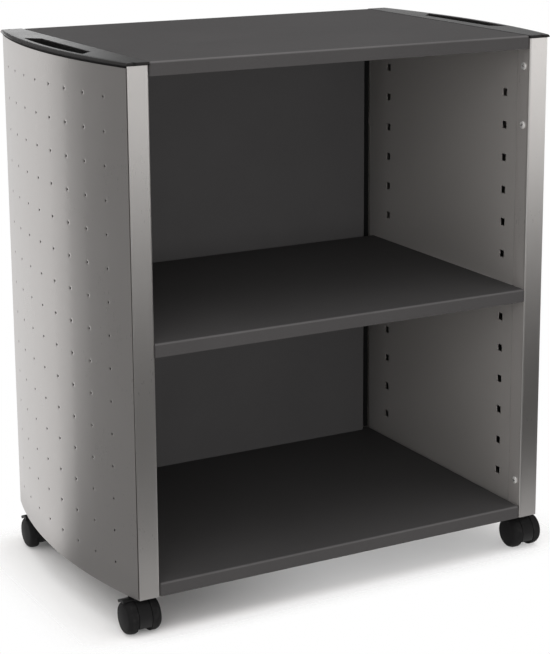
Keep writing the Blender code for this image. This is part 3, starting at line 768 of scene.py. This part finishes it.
def perforated_sheet_tree(material):
    """A tree that repeats a punched cell, bends the sheet round the side and gives it its thickness."""
    number, length = "NodeSocketInt", "NodeSocketFloat"
    tree, given, names = new_geometry_tree("Perforated side", {
        "Columns": number, "Rows": number, "Column Pitch": length, "Row Pitch": length,
        "Half Length": length, "Half Height": length, "Bend Radius": length, "Bend Centre": length,
        "Middle Height": length, "Side": length, "Sheet": length,
    })
    columns, rows = given.out("Columns"), given.out("Rows")
    across, up = given.out("Column Pitch"), given.out("Row Pitch")
    points = tree.node("GeometryNodeMeshGrid", sockets={
        "Size X": (columns - 1) * across, "Size Y": (rows - 1) * up,
        "Vertices X": columns, "Vertices Y": rows,
    })
    cells = tree.node("GeometryNodeInstanceOnPoints", sockets={
        "Points": points, "Instance": given.out("Geometry")})
    flat = tree.node("GeometryNodeRealizeInstances", sockets={"Geometry": cells})
    flat = tree.node("GeometryNodeMergeByDistance", sockets={"Geometry": flat, "Distance": MERGE})

    place = tree.node("GeometryNodeInputPosition")
    spot = tree.axis(place)
    half_x, half_y = columns * across / 2, rows * up / 2
    x_share = (spot / half_x).maths("ABSOLUTE")
    y_share = (spot.out("Y") / half_y).maths("ABSOLUTE")
    on_border = x_share.maths("MAXIMUM", y_share) > ON_BORDER
    margin = tree.node("GeometryNodeExtrudeMesh", {"mode": "EDGES"}, {
        "Mesh": flat, "Selection": on_border, "Offset Scale": 0.0})
    stretched = tree.node("ShaderNodeCombineXYZ", sockets={
        "X": spot * given.out("Half Length") / half_x,
        "Y": spot.out("Y") * given.out("Half Height") / half_y,
        "Z": spot.out("Z"),
    })
    whole = tree.node("GeometryNodeSetPosition", sockets={
        "Geometry": margin, "Selection": margin.out("Top"), "Position": stretched})

    radius = given.out("Bend Radius") + spot.out("Z")
    turn = spot / given.out("Bend Radius")
    wrapped = tree.node("ShaderNodeCombineXYZ", sockets={
        "X": given.out("Side") * (given.out("Bend Centre") + radius * turn.maths("COSINE")),
        "Y": given.out("Side") * radius * turn.maths("SINE"),
        "Z": given.out("Middle Height") + spot.out("Y"),
    })
    outside = tree.node("GeometryNodeSetPosition", sockets={"Geometry": whole, "Position": wrapped})
    inside = tree.node("GeometryNodeExtrudeMesh", {"mode": "FACES"}, {
        "Mesh": outside, "Offset Scale": -1.0 * given.out("Sheet"), "Individual": False})
    inside = tree.node("GeometryNodeFlipFaces", sockets={"Mesh": inside})
    both = tree.node("GeometryNodeJoinGeometry", sockets={"Geometry": [outside, inside]})
    solid = tree.node("GeometryNodeMergeByDistance", sockets={"Geometry": both, "Distance": MERGE})
    end_tree(tree, solid, material)
    return tree.tree, names


def grown(mesh, group, names, values):
    """The mesh that a Geometry Nodes tree makes from mesh with the given inputs."""
    helper = new_object("helper", mesh)
    growth = helper.modifiers.new("growth", "NODES")
    growth.node_group = group
    for label, value in values.items():
        growth[names[label]] = value
    return baked(helper)


class TROLLEY_OT_side_panels(bpy.types.Operator):
    """Make the two curved, perforated side panels"""

    bl_idname = "trolley.side_panels"
    bl_label = "Side panels"

    def execute(self, context):
        sizes = context.scene.trolley_sizes
        material = silver_finish("silver side", context.scene.trolley_colours.side,
                                 roughness=0.30, metallic=0.94, grain=0.00003)
        group, names = perforated_sheet_tree(material)
        for side, sign in SIDES.items():
            cell = punched_cell(sizes.column_pitch, sizes.row_pitch, sizes.perforation / 2,
                                sizes.dimple_width / 2, sizes.dimple_depth)
            mesh = grown(cell, group, names, {
                "Columns": sizes.columns,
                "Rows": sizes.rows,
                "Column Pitch": sizes.column_pitch,
                "Row Pitch": sizes.row_pitch,
                "Half Length": SIDE_RADIUS * math.asin((HALF - sizes.sheet - SEAM) / SIDE_RADIUS),
                "Half Height": (SIDE_TOP - CAP_GAP - FOOT) / 2,
                "Bend Radius": SIDE_RADIUS,
                "Bend Centre": ARC_CENTRE,
                "Middle Height": (SIDE_TOP - CAP_GAP + FOOT) / 2,
                "Side": float(sign),
                "Sheet": sizes.sheet,
            })
            node = f"{side}_outer_panel"
            settle(new_piece(node + "_perforated", mesh), "trolley", "silver_sheet", node)
        return {"FINISHED"}


class TROLLEY_OT_posts(bpy.types.Operator):
    """Make the four folded corner posts and finish the inner panels"""

    bl_idname = "trolley.posts"
    bl_label = "Posts and inner panels"

    def execute(self, context):
        sizes = context.scene.trolley_sizes
        colours = context.scene.trolley_colours
        material = silver_finish("silver post", colours.post,
                                 roughness=0.30, metallic=0.95, grain=0.00003, inside=0.62)
        behind = HALF - sizes.sheet
        lap = (side_x(HALF - POST_LAP, -sizes.sheet - FIT), HALF - POST_LAP)
        turn = (side_x(behind, -sizes.sheet - FIT), behind)
        flange = (OUTER - BRACKET, behind)
        paths = {
            "front_post": [
                [(INNER, -HALF + POST_RETURN), (INNER, -HALF), (OUTER, -HALF)],
                [(x, -y) for x, y in (flange, turn, lap)],
            ],
            "rear_post": [
                [(OUTER, HALF), (INNER - BACK_RECESS - FLANGE_SPARE, HALF)],
                [lap, turn, flange],
            ],
        }
        for name, strips in paths.items():
            bm = bmesh.new()
            for path, gap in zip(strips, (0, CAP_GAP)):
                strip = folded(path, sizes.sheet, sizes.bend, FOOT, SIDE_TOP - gap)
                bm.from_mesh(softened(strip, sizes.edge_break))
            both_sides(name, mesh_from(name, bm), material, "silver_sheet")
        inner = silver_finish("silver inner panel", colours.inner,
                              roughness=0.30, metallic=0.35, grain=0.000004, streaks=0.02)
        for side in SIDES:
            paint(f"{side}_inner_panel", inner)
        return {"FINISHED"}


def paint(node, material):
    """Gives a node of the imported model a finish."""
    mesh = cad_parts[node].data
    mesh.materials.clear()
    mesh.materials.append(material)


class TROLLEY_OT_shelves(bpy.types.Operator):
    """Make the top plate, the two shelves and the back panel"""

    bl_idname = "trolley.shelves"
    bl_label = "Shelves and back"

    def execute(self, context):
        sizes = context.scene.trolley_sizes
        colour = context.scene.trolley_colours.shelf
        coat = powder_coat_finish("anthracite powder coat", colour)
        # The back panel's coat carries painted shade in the gaps beside its face.
        shaded_back_coat = powder_coat_finish("anthracite back", colour, (INNER - BACK_RECESS, HALF - BACK_STEP))
        meshes = {}
        for node in ("top_plate", "bottom_shelf"):
            meshes[node] = tray(*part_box(node), sizes.sheet, sizes.bend)
        low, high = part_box("middle_shelf")
        shelf = [(high.y, low.z), (high.y, high.z), (low.y, high.z), (low.y, low.z)]
        meshes["middle_shelf"] = folded(shelf, sizes.sheet, sizes.bend, low.x, high.x, along_x)
        low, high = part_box("back_panel")
        lip = high.y - sizes.sheet
        wide, narrow, face = high.x, INNER - BACK_RECESS, HALF - BACK_STEP
        back = [(-wide, lip), (-narrow, lip), (-narrow, face), (narrow, face), (narrow, lip), (wide, lip)]
        meshes["back_panel"] = folded(back, sizes.sheet, sizes.bend, low.z, high.z)
        for node, mesh in meshes.items():
            mesh = softened(mesh, sizes.edge_break)
            piece = new_piece(node + "_dressed", mesh, shaded_back_coat if node == "back_panel" else coat)
            settle(piece, "trolley", "anthracite_sheet", node)
            if node == "back_panel":
                bpy.data.collections[LIT_INSIDE].objects.link(piece)
        return {"FINISHED"}


def rim_mesh(sheet, bend):
    """Rim under the right cap, which locates it inside the hollow side, and the joint over the panel."""
    def outline(shrink):
        clear = 2 * (sheet + FIT) + shrink
        inner, front, rear = INNER + clear, -HALF + clear - sheet - FIT, HALF - clear
        rows = spread(front + bend, rear - bend, RIM_STEPS)
        curve = [(side_x(y, -clear), y) for y in rows]
        return [
            (inner, front + bend), (inner + bend, front), (curve[0][0] - bend, front), *curve,
            (curve[-1][0] - bend, rear), (inner + bend, rear), (inner, rear - bend),
        ]

    high = CAP_LOW + CAP_CHAMFER
    wall = prism(outline(0), SIDE_TOP - RIM_DEPTH, high)
    end = HALF - sheet - FIT
    inner = INNER + 2 * (sheet + FIT)
    curve = [(side_x(y, -JOINT_INSET), y) for y in spread(-end, end, RIM_STEPS)]
    joint = prism([(inner, -end), *curve, (inner, end)], SIDE_TOP - CAP_GAP + JOINT_PLAY, high)
    return combined(wall, joins=[joint], cuts=[prism(outline(COLLAR_WALL), FOOT, TOP)])


def cap_mesh(fillet, rim):
    """Right handle cap: a flat lid with a rolled outer edge, a grip slot with a collar, and a rim below."""
    top_edge = CAP_DEPTH - CAP_END_SLOPE
    slot_inner = side_x(0, CAP_OVERHANG - GRIP_WIDTH) - SLOT_WIDTH
    first, last = END_STATIONS, END_STATIONS + SLOT_STATIONS
    finish = last + END_STATIONS

    def stations(slot_end, edge):
        ends = spread(-edge, -slot_end, END_STATIONS)
        middle = spread(-slot_end, slot_end, SLOT_STATIONS)
        return ends + middle[1:] + [-y for y in ends[::-1]][1:]

    def grid(z, inner, grow, edge, outer):
        """Points of a level face: from the inner edge, past both edges of the slot, to the outer edge."""
        near = stations(SLOT_HALF + grow, edge)
        far = stations(SLOT_HALF + SLOT_FLARE + grow, edge)
        rows = []
        for y_near, y_far in zip(near, far):
            rows.append([
                (inner, y_near, z),
                ((inner + slot_inner) / 2, y_near, z),
                (slot_inner - grow, y_near, z),
                (side_x(y_far, CAP_OVERHANG - GRIP_WIDTH + grow), y_far, z),
                (outer(y_far), y_far, z),
            ])
        return rows

    def border(rows):
        """The outer border of a level face."""
        around = rows[0][:-1] + [row[-1] for row in rows[:-1]]
        return around + rows[-1][:0:-1] + [row[0] for row in rows[:0:-1]]

    def slot_border(rows):
        beside = rows[first:last + 1]
        return [row[2] for row in beside] + [row[3] for row in reversed(beside)]

    def roll_ring(share):
        """Border of the rolled edge, from the flat at 0 to the shoulder at 1."""
        across = math.sin(share * math.pi / 2)
        round_drop = 1 - math.cos(share * math.pi / 2)
        drop = across * (1 - ROLL_ROUNDNESS) + round_drop * ROLL_ROUNDNESS
        z = TOP - (TOP - CAP_SHOULDER) * drop
        edge = top_edge + CAP_END_SLOPE * across

        def outer(y):
            plan = y * HALF / edge
            start = grip_x(plan)
            return start + (side_x(plan, CAP_OVERHANG) - start) * across

        return border(grid(z, INNER, fillet, edge, outer))

    def foot_ring(z, draw_in):
        edge = CAP_DEPTH - draw_in
        return grid(z, INNER, COLLAR_WALL, edge, lambda y: side_x(y * HALF / edge, CAP_OVERHANG - draw_in))

    lid = grid(TOP, INNER + fillet / 2, fillet, top_edge, lambda y: grip_x(y * HALF / top_edge))
    under = foot_ring(CAP_LOW, CAP_CHAMFER)
    bm = bmesh.new()

    def add_face(rows):
        verts = [[bm.verts.new(point) for point in row] for row in rows]
        for k in range(finish):
            for j in range(4):
                if j == 2 and first <= k < last:
                    continue
                bm.faces.new((verts[k][j], verts[k][j + 1], verts[k + 1][j + 1], verts[k + 1][j]))

    def add_rings(rings):
        loops = [[bm.verts.new(point) for point in ring] for ring in rings]
        count = len(loops[0])
        for upper, lower in zip(loops, loops[1:]):
            for i in range(count):
                j = (i + 1) % count
                bm.faces.new((upper[i], upper[j], lower[j], lower[i]))

    add_face(lid)
    add_face(under)
    rolls = [roll_ring(step / ROLL_STEPS) for step in range(1, ROLL_STEPS + 1)]
    add_rings([border(lid), *rolls, border(foot_ring(CAP_LOW + CAP_CHAMFER, 0.0)), border(under)])

    def slot_ring(z, grow):
        return slot_border(grid(z, INNER, grow, top_edge, lambda y: side_x(y, CAP_OVERHANG)))

    turns = spread(0, math.pi / 2, FILLET_STEPS)
    rounded = [slot_ring(TOP - fillet * (1 - math.cos(a)), fillet * (1 - math.sin(a))) for a in turns]
    rounded[0] = slot_border(lid)
    collar = [slot_ring(COLLAR_LOW, 0.0), slot_ring(COLLAR_LOW, COLLAR_WALL)]
    add_rings([*rounded, *collar, slot_border(under)])
    bm.from_mesh(rim)
    return closed_mesh("cap", bm)


class TROLLEY_OT_handle_caps(bpy.types.Operator):
    """Make the two handle caps with their grip slots"""

    bl_idname = "trolley.handle_caps"
    bl_label = "Handle caps"

    def execute(self, context):
        colour = context.scene.trolley_colours.cap
        sizes = context.scene.trolley_sizes
        material = moulded_finish("grey cap plastic", colour, roughness=0.16, gloss=0.5,
                                  grain_depth=0.000005, matt_shade_below=CAP_SHOULDER + FIT)
        mesh = cap_mesh(sizes.slot_fillet, rim_mesh(sizes.sheet, sizes.bend))
        both_sides("handle_cap", mesh, material, "grey_plastic")
        return {"FINISHED"}


def turned(profile, sides, place):
    """A solid of revolution about place's axis from (radius, height) points that start and end on it."""
    bm = bmesh.new()
    verts = [bm.verts.new(place(radius, 0, height)) for radius, height in profile]
    edges = [bm.edges.new(pair) for pair in zip(verts, verts[1:])]
    bmesh.ops.spin(bm, geom=verts + edges, cent=(0, 0, 0), axis=place(0, 0, 1), steps=sides,
                   angle=2 * math.pi)
    return closed_mesh("turned", bm)


def wheel_edge(face, grow=0.0):
    """Rounded outer edge of a wheel as (radius, height) points, up to its face, or a line round it."""
    return [
        (AXLE_HEIGHT + grow - WHEEL_CROWN * (1 - math.cos(a)), face - WHEEL_EDGE * (1 - math.sin(a)))
        for a in spread(0, math.pi / 2, WHEEL_EDGE_STEPS)
    ]


def wheel_room():
    """Space that the right wheel needs under the fender. It reaches a little into the hood's body."""
    edge = wheel_edge(HOOD_HALF + WHEEL_PLAY + WHEEL_WIDTH - WHEEL_DOME, FENDER_PLAY)
    near = HOOD_HALF - WHEEL_PLAY / 2
    profile = [(0, near), (edge[0][0], near), *edge, (edge[-1][0], FAR), (0, FAR)]
    room = turned(profile, WHEEL_SIDES, along_x)
    room.transform(Matrix.Translation((0, -TRAIL, AXLE_HEIGHT)))
    return room


def hood_mesh():
    """Hood round the swivel axis: body between the wheels, fender round their tops, boss for the stem."""
    axle = (-TRAIL, AXLE_HEIGHT)
    reach = HOOD_HALF + WHEEL_PLAY + WHEEL_WIDTH
    body = disc(HOOD_RADIUS, -HOOD_HALF, HOOD_HALF, axle, along_x, HOOD_SIDES)
    body = softened(body, HOOD_SOFT, SOFT_STEPS)

    def arc(radius, turns):
        return [(axle[0] - radius * math.cos(a), axle[1] + radius * math.sin(a)) for a in turns]

    turns = spread(FENDER_FROM, FENDER_TO, FENDER_STEPS)
    outline = arc(FENDER_OUTER - FENDER_LIP, turns) + arc(FENDER_OUTER, reversed(turns))
    fender = softened(prism(outline, -reach, reach, along_x), HOOD_SOFT, SOFT_STEPS)
    room = wheel_room()
    fender = combined(fender, cuts=[room, mirrored(room)])
    boss = softened(disc(HOOD_HALF - WHEEL_PLAY, AXLE_HEIGHT, HOOD_TOP), BOSS_SOFT, SOFT_STEPS)
    foot = prism([(-FAR, -FAR), (FAR, -FAR), (FAR, FAR), (-FAR, FAR)], -FAR, HOOD_LOW)
    bore = disc(STEM_BORE, HOOD_TOP - STEM_DEPTH, HOOD_TOP + FAR)
    axle_bore = disc(AXLE_BORE, -FAR, FAR, axle, along_x)
    return combined(body, joins=[fender, boss], cuts=[foot, bore, axle_bore])


def wheel_mesh():
    """Wheel along +X from its inner face, with a rounded edge and a fine groove round its cover."""
    radius = AXLE_HEIGHT
    rim = WHEEL_WIDTH - WHEEL_DOME
    cover = radius - WHEEL_CROWN - GROOVE_INSET
    profile = [
        (0, WHEEL_WIDTH - WHEEL_COVER),
        (AXLE_BORE, WHEEL_WIDTH - WHEEL_COVER),
        (AXLE_BORE, 0),
        (radius - WHEEL_BEVEL, 0),
        (radius - WHEEL_BEVEL * BEVEL_MIDDLE, WHEEL_BEVEL * BEVEL_MIDDLE),
        (radius, WHEEL_BEVEL),
        *wheel_edge(rim),
        (cover + GROOVE_HALF, rim + GROOVE_LIPS[0]),
        (cover, rim - GROOVE_DEPTH),
        (cover - GROOVE_HALF, rim + GROOVE_LIPS[1]),
        *[(cover * out, rim + WHEEL_DOME * rise) for out, rise in COVER_DOME],
        (0, WHEEL_WIDTH),
    ]
    mesh = turned(profile, WHEEL_SIDES, along_x)
    return marked(mesh, "tread", lambda point: math.hypot(point.y, point.z) > radius - TREAD_DEPTH)


class TROLLEY_OT_casters(bpy.types.Operator):
    """Make the hoods and wheels of the four casters and finish their hardware"""

    bl_idname = "trolley.casters"
    bl_label = "Casters"

    def execute(self, context):
        colours = context.scene.trolley_colours
        hood_black = moulded_finish("black hood plastic", colours.caster,
                                    roughness=0.42, gloss=0.15, grain_depth=0.00002)
        wheel_black = wheel_finish("black wheel plastic", colours.caster)
        zinc = zinc_finish("zinc axles and stems", colours.zinc)
        socket_grey = moulded_finish("grey socket plastic", colours.cap,
                                     roughness=0.42, gloss=0.4, grain_depth=0.00002)
        hood, wheel = hood_mesh(), wheel_mesh()
        for end in ENDS:
            for side, sign in SIDES.items():
                name = f"{end}_{side}"
                low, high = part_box(f"caster_stem_{name}")
                swivel = Vector(((low.x + high.x) / 2, (low.y + high.y) / 2, 0))
                mesh = hood.copy()
                mesh.transform(Matrix.Translation(swivel))
                piece = new_piece(f"caster_hood_{name}_dressed", mesh, hood_black)
                settle(piece, f"caster_{name}", "black_plastic", f"caster_hood_{name}")
                for label, facing in (("outer", sign), ("inner", -sign)):
                    seat = swivel + Vector((facing * (HOOD_HALF + WHEEL_PLAY), -TRAIL, AXLE_HEIGHT))
                    mesh = wheel.copy()
                    turn = Matrix.Rotation(0 if facing > 0 else math.pi, 4, "Z")
                    mesh.transform(Matrix.Translation(seat) @ turn)
                    piece = new_piece(f"caster_wheel_{name}_{label}_dressed", mesh, wheel_black)
                    settle(piece, f"wheel_{name}_{label}", "black_plastic", f"caster_wheel_{name}_{label}")
                paint(f"caster_axle_{name}", zinc)
                paint(f"caster_stem_{name}", zinc)
                paint(f"caster_socket_{name}", socket_grey)
        return {"FINISHED"}


def screw_head():
    """Pan head along +Z from its underside, with a cross recess whose floor is marked for painted shade."""
    dome = spread(0, math.pi / 2, HEAD_STEPS)
    profile = [
        (0, 0),
        (HEAD_RADIUS, 0),
        *[(HEAD_RADIUS * math.cos(a), HEAD_EDGE + HEAD_CROWN * math.sin(a)) for a in dome],
    ]
    head = turned(profile, HEAD_SIDES, along_z)
    crown = HEAD_EDGE + HEAD_CROWN
    half, thin = CROSS_LENGTH / 2, CROSS_WIDTH / 2
    bars = []
    for long_way, short_way in ((half, thin), (thin, half)):
        outline = [(-long_way, -short_way), (long_way, -short_way), (long_way, short_way),
                   (-long_way, short_way)]
        bars.append(prism(outline, crown - CROSS_DEPTH, crown + CROSS_DEPTH))
    deep = crown - CROSS_DEPTH * CROSS_SHADE_SHARE

    def in_shaded_recess(point):
        return point.z < deep and math.hypot(point.x, point.y) < HEAD_RADIUS * CROSS_SHADE_SHARE

    return marked(combined(head, cuts=bars), "recess", in_shaded_recess)


def screw_tree(material):
    """A tree that sets a screw head on every point, along the direction kept in its facing attribute."""
    inputs = {"Screw": "NodeSocketObject", "Turn": "NodeSocketFloat"}
    tree, given, names = new_geometry_tree("Screws", inputs)
    head = tree.node("GeometryNodeObjectInfo", sockets={"Object": given.out("Screw")}, output="Geometry")
    points = tree.node("GeometryNodeMeshToPoints", sockets={"Mesh": given.out("Geometry")})
    facing = tree.node("GeometryNodeInputNamedAttribute", {"data_type": "FLOAT_VECTOR"}, {"Name": "facing"})
    stance = tree.node("FunctionNodeAlignRotationToVector", {"axis": "Z"}, {"Vector": facing})
    number = tree.node("GeometryNodeInputIndex")
    spin = tree.node("ShaderNodeCombineXYZ", sockets={"Z": number * given.out("Turn")})
    stance = tree.node("FunctionNodeRotateRotation", {"rotation_space": "LOCAL"}, {
        "Rotation": stance, "Rotate By": spin})
    heads = tree.node("GeometryNodeInstanceOnPoints", sockets={
        "Points": points, "Instance": head, "Rotation": stance})
    end_tree(tree, heads, material)
    return tree.tree, names


class TROLLEY_OT_screws(bpy.types.Operator):
    """Make the twelve cross-head screws of the posts"""

    bl_idname = "trolley.screws"
    bl_label = "Screws"

    def execute(self, context):
        # Painted highlight: the screws' zinc is painted lighter than the other zinc.
        zinc = zinc_finish("zinc screws", context.scene.trolley_colours.zinc,
                           metallic=0.45, brightness=1.5)
        nodes, seats, directions = [], [], []
        for end in ENDS:
            for side, sign in SIDES.items():
                for number in range(1, POST_SCREWS + 1):
                    node = f"screw_{end}_{side}_{number}"
                    low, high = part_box(node)
                    seat = (low + high) / 2
                    if end == "front":
                        seat.x = sign * (INNER - FIT)
                    else:
                        seat.y = HALF + FIT
                    nodes.append(node)
                    seats.append(seat)
                    directions.append((-sign, 0, 0) if end == "front" else (0, 1, 0))
        points = bpy.data.meshes.new("screw places")
        points.from_pydata(seats, [], [])
        facing = points.attributes.new("facing", "FLOAT_VECTOR", "POINT")
        for place, direction in zip(facing.data, directions):
            place.vector = direction
        head = new_object("helper", screw_head())
        group, names = screw_tree(zinc)
        mesh = grown(points, group, names, {"Screw": head, "Turn": CROSS_TURN})
        bpy.data.objects.remove(head)
        settle(new_piece("screws_cross_head", mesh), "trolley", "zinc_steel", *nodes)
        return {"FINISHED"}


class TROLLEY_OT_hardware(bpy.types.Operator):
    """Finish the base plates and the shelf supports"""

    bl_idname = "trolley.hardware"
    bl_label = "Base plates and supports"

    def execute(self, context):
        colours = context.scene.trolley_colours
        zinc = zinc_finish("zinc base plates", colours.zinc)
        clip = moulded_finish("black clip plastic", colours.caster,
                              roughness=0.38, gloss=0.4, grain_depth=0.00002)
        for side in SIDES:
            paint(f"{side}_base_plate", zinc)
            for end in ENDS:
                paint(f"shelf_support_{end}_{side}", clip)
        return {"FINISHED"}


def add_softbox(name, place, target, size, radiance):
    """A large rectangular light that faces target. Its power follows from its radiance and its area."""
    light = bpy.data.lights.new(name, "AREA")
    light.shape = "RECTANGLE"
    light.size, light.size_y = size
    light.energy = radiance * math.pi * size[0] * size[1]
    box = new_object(name, light)
    box.location = place
    box.rotation_euler = (Vector(target) - Vector(place)).to_track_quat("-Z", "Y").to_euler()
    box.visible_camera = False
    return box


def add_card(name, corners, faces, axis, stops):
    """A plain card that only reflections see. Its brightness follows stops of metres and radiance."""
    mesh = bpy.data.meshes.new(name)
    mesh.from_pydata(corners, [], faces)
    material = bpy.data.materials.new(name)
    material.use_nodes = True
    material.cycles.emission_sampling = "NONE"
    tree = Tree(material.node_tree)
    material.node_tree.nodes.clear()
    along = tree.axis(tree.node("ShaderNodeTexCoord", output="Object"), axis)
    first, last = stops[0][0], stops[-1][0]
    shares = [((metres - first) / (last - first), (value, value, value, 1)) for metres, value in stops]
    glow = tree.node("ShaderNodeValToRGB", {"stops": shares}, {0: (along - first) / (last - first)})
    light = tree.node("ShaderNodeEmission", sockets={"Color": glow})
    tree.node("ShaderNodeOutputMaterial", sockets={"Surface": light})
    mesh.materials.append(material)
    card = new_object(name, mesh)
    card.visible_camera = False
    card.visible_diffuse = False
    card.visible_shadow = False
    card.visible_transmission = False


class TROLLEY_OT_stage(bpy.types.Operator):
    """Make the floor, the light and the camera"""

    bl_idname = "trolley.stage"
    bl_label = "Stage"

    def execute(self, context):
        scene = context.scene
        light = scene.trolley_light
        bm = bmesh.new()
        bmesh.ops.create_grid(bm, x_segments=FLOOR_STEPS, y_segments=FLOOR_STEPS, size=FLOOR_HALF)
        mesh = mesh_from("floor", bm)
        mesh.materials.append(floor_finish("pale floor", scene.trolley_colours.floor))
        new_object("floor", mesh)

        boxes = {}
        for name, (place, target, size) in SOFTBOXES.items():
            boxes[name] = add_softbox(name, place, target, size, getattr(light, name))
        boxes["inside"].visible_glossy = False
        boxes["inside"].light_linking.receiver_collection = bpy.data.collections.new(LIT_INSIDE)
        self.make_cards(light)
        self.make_world(scene, light)
        self.make_camera(scene)
        scene.view_settings.view_transform = "Standard"
        return {"FINISHED"}

    def make_cards(self, light):
        """What the metal and the caps reflect: a wall behind, a dim left and a graded floor in front."""
        left, right, back, top = -3.0, 3.2, 2.5, 1.21
        wall = [(left, back, 0.0), (right, back, 0.0), (right, back, top), (left, back, top)]
        add_card("white wall behind", wall, [(0, 1, 2, 3)], "X", [
            (left, light.wall), (0.60, light.wall), (0.86, 0.20), (1.3, 0.22), (1.7, 0.36), (right, 0.38)])

        front, low, bend, high, dim = -1.2, 0.004, 0.12, 2.4, 0.22
        edges = ((-0.40, 0.05, low), (-0.92, 0.80, bend), (-0.92, 0.80, high))  # x, rear end, height
        corners = [(x, y, z) for x, rear, z in edges for y in (front, rear)]
        add_card("dim left", corners, [(0, 1, 3, 2), (2, 3, 5, 4)], "Z", [(0.0, dim), (high, dim)])

        near, far, level = -0.27, -7.0, 0.003
        floors = {  # ends of the near and of the far edge, and stops from far to near
            "floor before the left posts": ((-0.8, 0.0), (-0.8, 4.0), [
                (far, 2.0), (-5.0, 1.45), (-3.6, 0.42), (-2.0, 0.03),
                (-0.9, 0.07), (-0.6, 0.20), (-0.3, 0.42)]),
            "floor before the right posts": ((0.0, 5.0), (4.0, 8.0), [
                (far, 3.0), (-5.0, 2.3), (-3.2, 0.85), (-2.1, 0.03),
                (-0.9, 0.0), (-0.6, 0.03), (-0.3, 0.50)]),
        }
        for name, (near_ends, far_ends, stops) in floors.items():
            corners = [(x, near, level) for x in near_ends] + [(x, far, level) for x in reversed(far_ends)]
            add_card(name, corners, [(0, 1, 2, 3)], "Y", stops)

    def make_world(self, scene, light):
        """White for the camera, an even fill for matt surfaces and a dim studio in reflections."""
        world = bpy.data.worlds.new("studio")
        world.use_nodes = True
        world.cycles.sampling_method = "NONE"
        tree = Tree(world.node_tree)
        world.node_tree.nodes.clear()
        ray = tree.node("ShaderNodeLightPath", output="Is Camera Ray")
        way = tree.node("ShaderNodeTexCoord", output="Generated")
        height = tree.axis(way, "Z")
        horizon = (-0.05, 0.01)
        white, warm, pale = (1.0,) * 3, (1.0, 0.975, 0.96), (0.95,) * 3
        below = 1 - tree.ramp(height, *horizon)
        dim = tree.mixed(below, shade((light.dark,) * 3), shade(pale))
        studio = tree.mixed(ray.out("Is Glossy Ray"), shade(warm, light.fill), dim)
        colour = tree.mixed(ray, studio, shade(white))
        glow = tree.node("ShaderNodeBackground", sockets={"Color": colour})
        tree.node("ShaderNodeOutputWorld", sockets={"Surface": glow})
        scene.world = world

    def make_camera(self, scene):
        lens = bpy.data.cameras.new("camera")
        lens.sensor_width = SENSOR
        lens.lens = CAMERA_FOCUS / max(PICTURE) * SENSOR
        lens.shift_x = (PICTURE[0] / 2 - CAMERA_MIDDLE[0]) / max(PICTURE)
        lens.shift_y = (CAMERA_MIDDLE[1] - PICTURE[1] / 2) / max(PICTURE)
        camera = new_object("camera", lens)
        camera.location = CAMERA_PLACE
        camera.rotation_euler = (math.pi / 2 - CAMERA_PITCH, 0, -CAMERA_YAW)
        scene.camera = camera


class TROLLEY_PT_sidebar(bpy.types.Panel):
    """Sizes, colours and steps of the trolley"""

    bl_idname = "TROLLEY_PT_sidebar"
    bl_label = "Computer trolley"
    bl_space_type = "VIEW_3D"
    bl_region_type = "UI"
    bl_category = "Trolley"

    def draw(self, context):
        scene = context.scene
        for group in (scene.trolley_sizes, scene.trolley_colours, scene.trolley_light):
            column = self.layout.column()
            for name in group.__annotations__:
                column.prop(group, name)
        for operator in OPERATORS:
            self.layout.operator(operator.bl_idname)


OPERATORS = (
    TROLLEY_OT_stage,
    TROLLEY_OT_side_panels,
    TROLLEY_OT_posts,
    TROLLEY_OT_shelves,
    TROLLEY_OT_handle_caps,
    TROLLEY_OT_casters,
    TROLLEY_OT_screws,
    TROLLEY_OT_hardware,
)
GROUPS = {"trolley_sizes": TrolleySizes, "trolley_colours": TrolleyColours, "trolley_light": TrolleyLight}


def register():
    for group in (*GROUPS.values(), *OPERATORS, TROLLEY_PT_sidebar):
        bpy.utils.register_class(group)
    for name, group in GROUPS.items():
        setattr(bpy.types.Scene, name, bpy.props.PointerProperty(type=group))


def unregister():
    for name in GROUPS:
        delattr(bpy.types.Scene, name)
    for group in (TROLLEY_PT_sidebar, *reversed(OPERATORS), *reversed(GROUPS.values())):
        bpy.utils.unregister_class(group)


def main():
    register()
    bpy.ops.trolley.stage()
    bpy.ops.trolley.side_panels()
    bpy.ops.trolley.posts()
    bpy.ops.trolley.shelves()
    bpy.ops.trolley.handle_caps()
    bpy.ops.trolley.casters()
    bpy.ops.trolley.screws()
    bpy.ops.trolley.hardware()


if __name__ == "__main__":
    main()
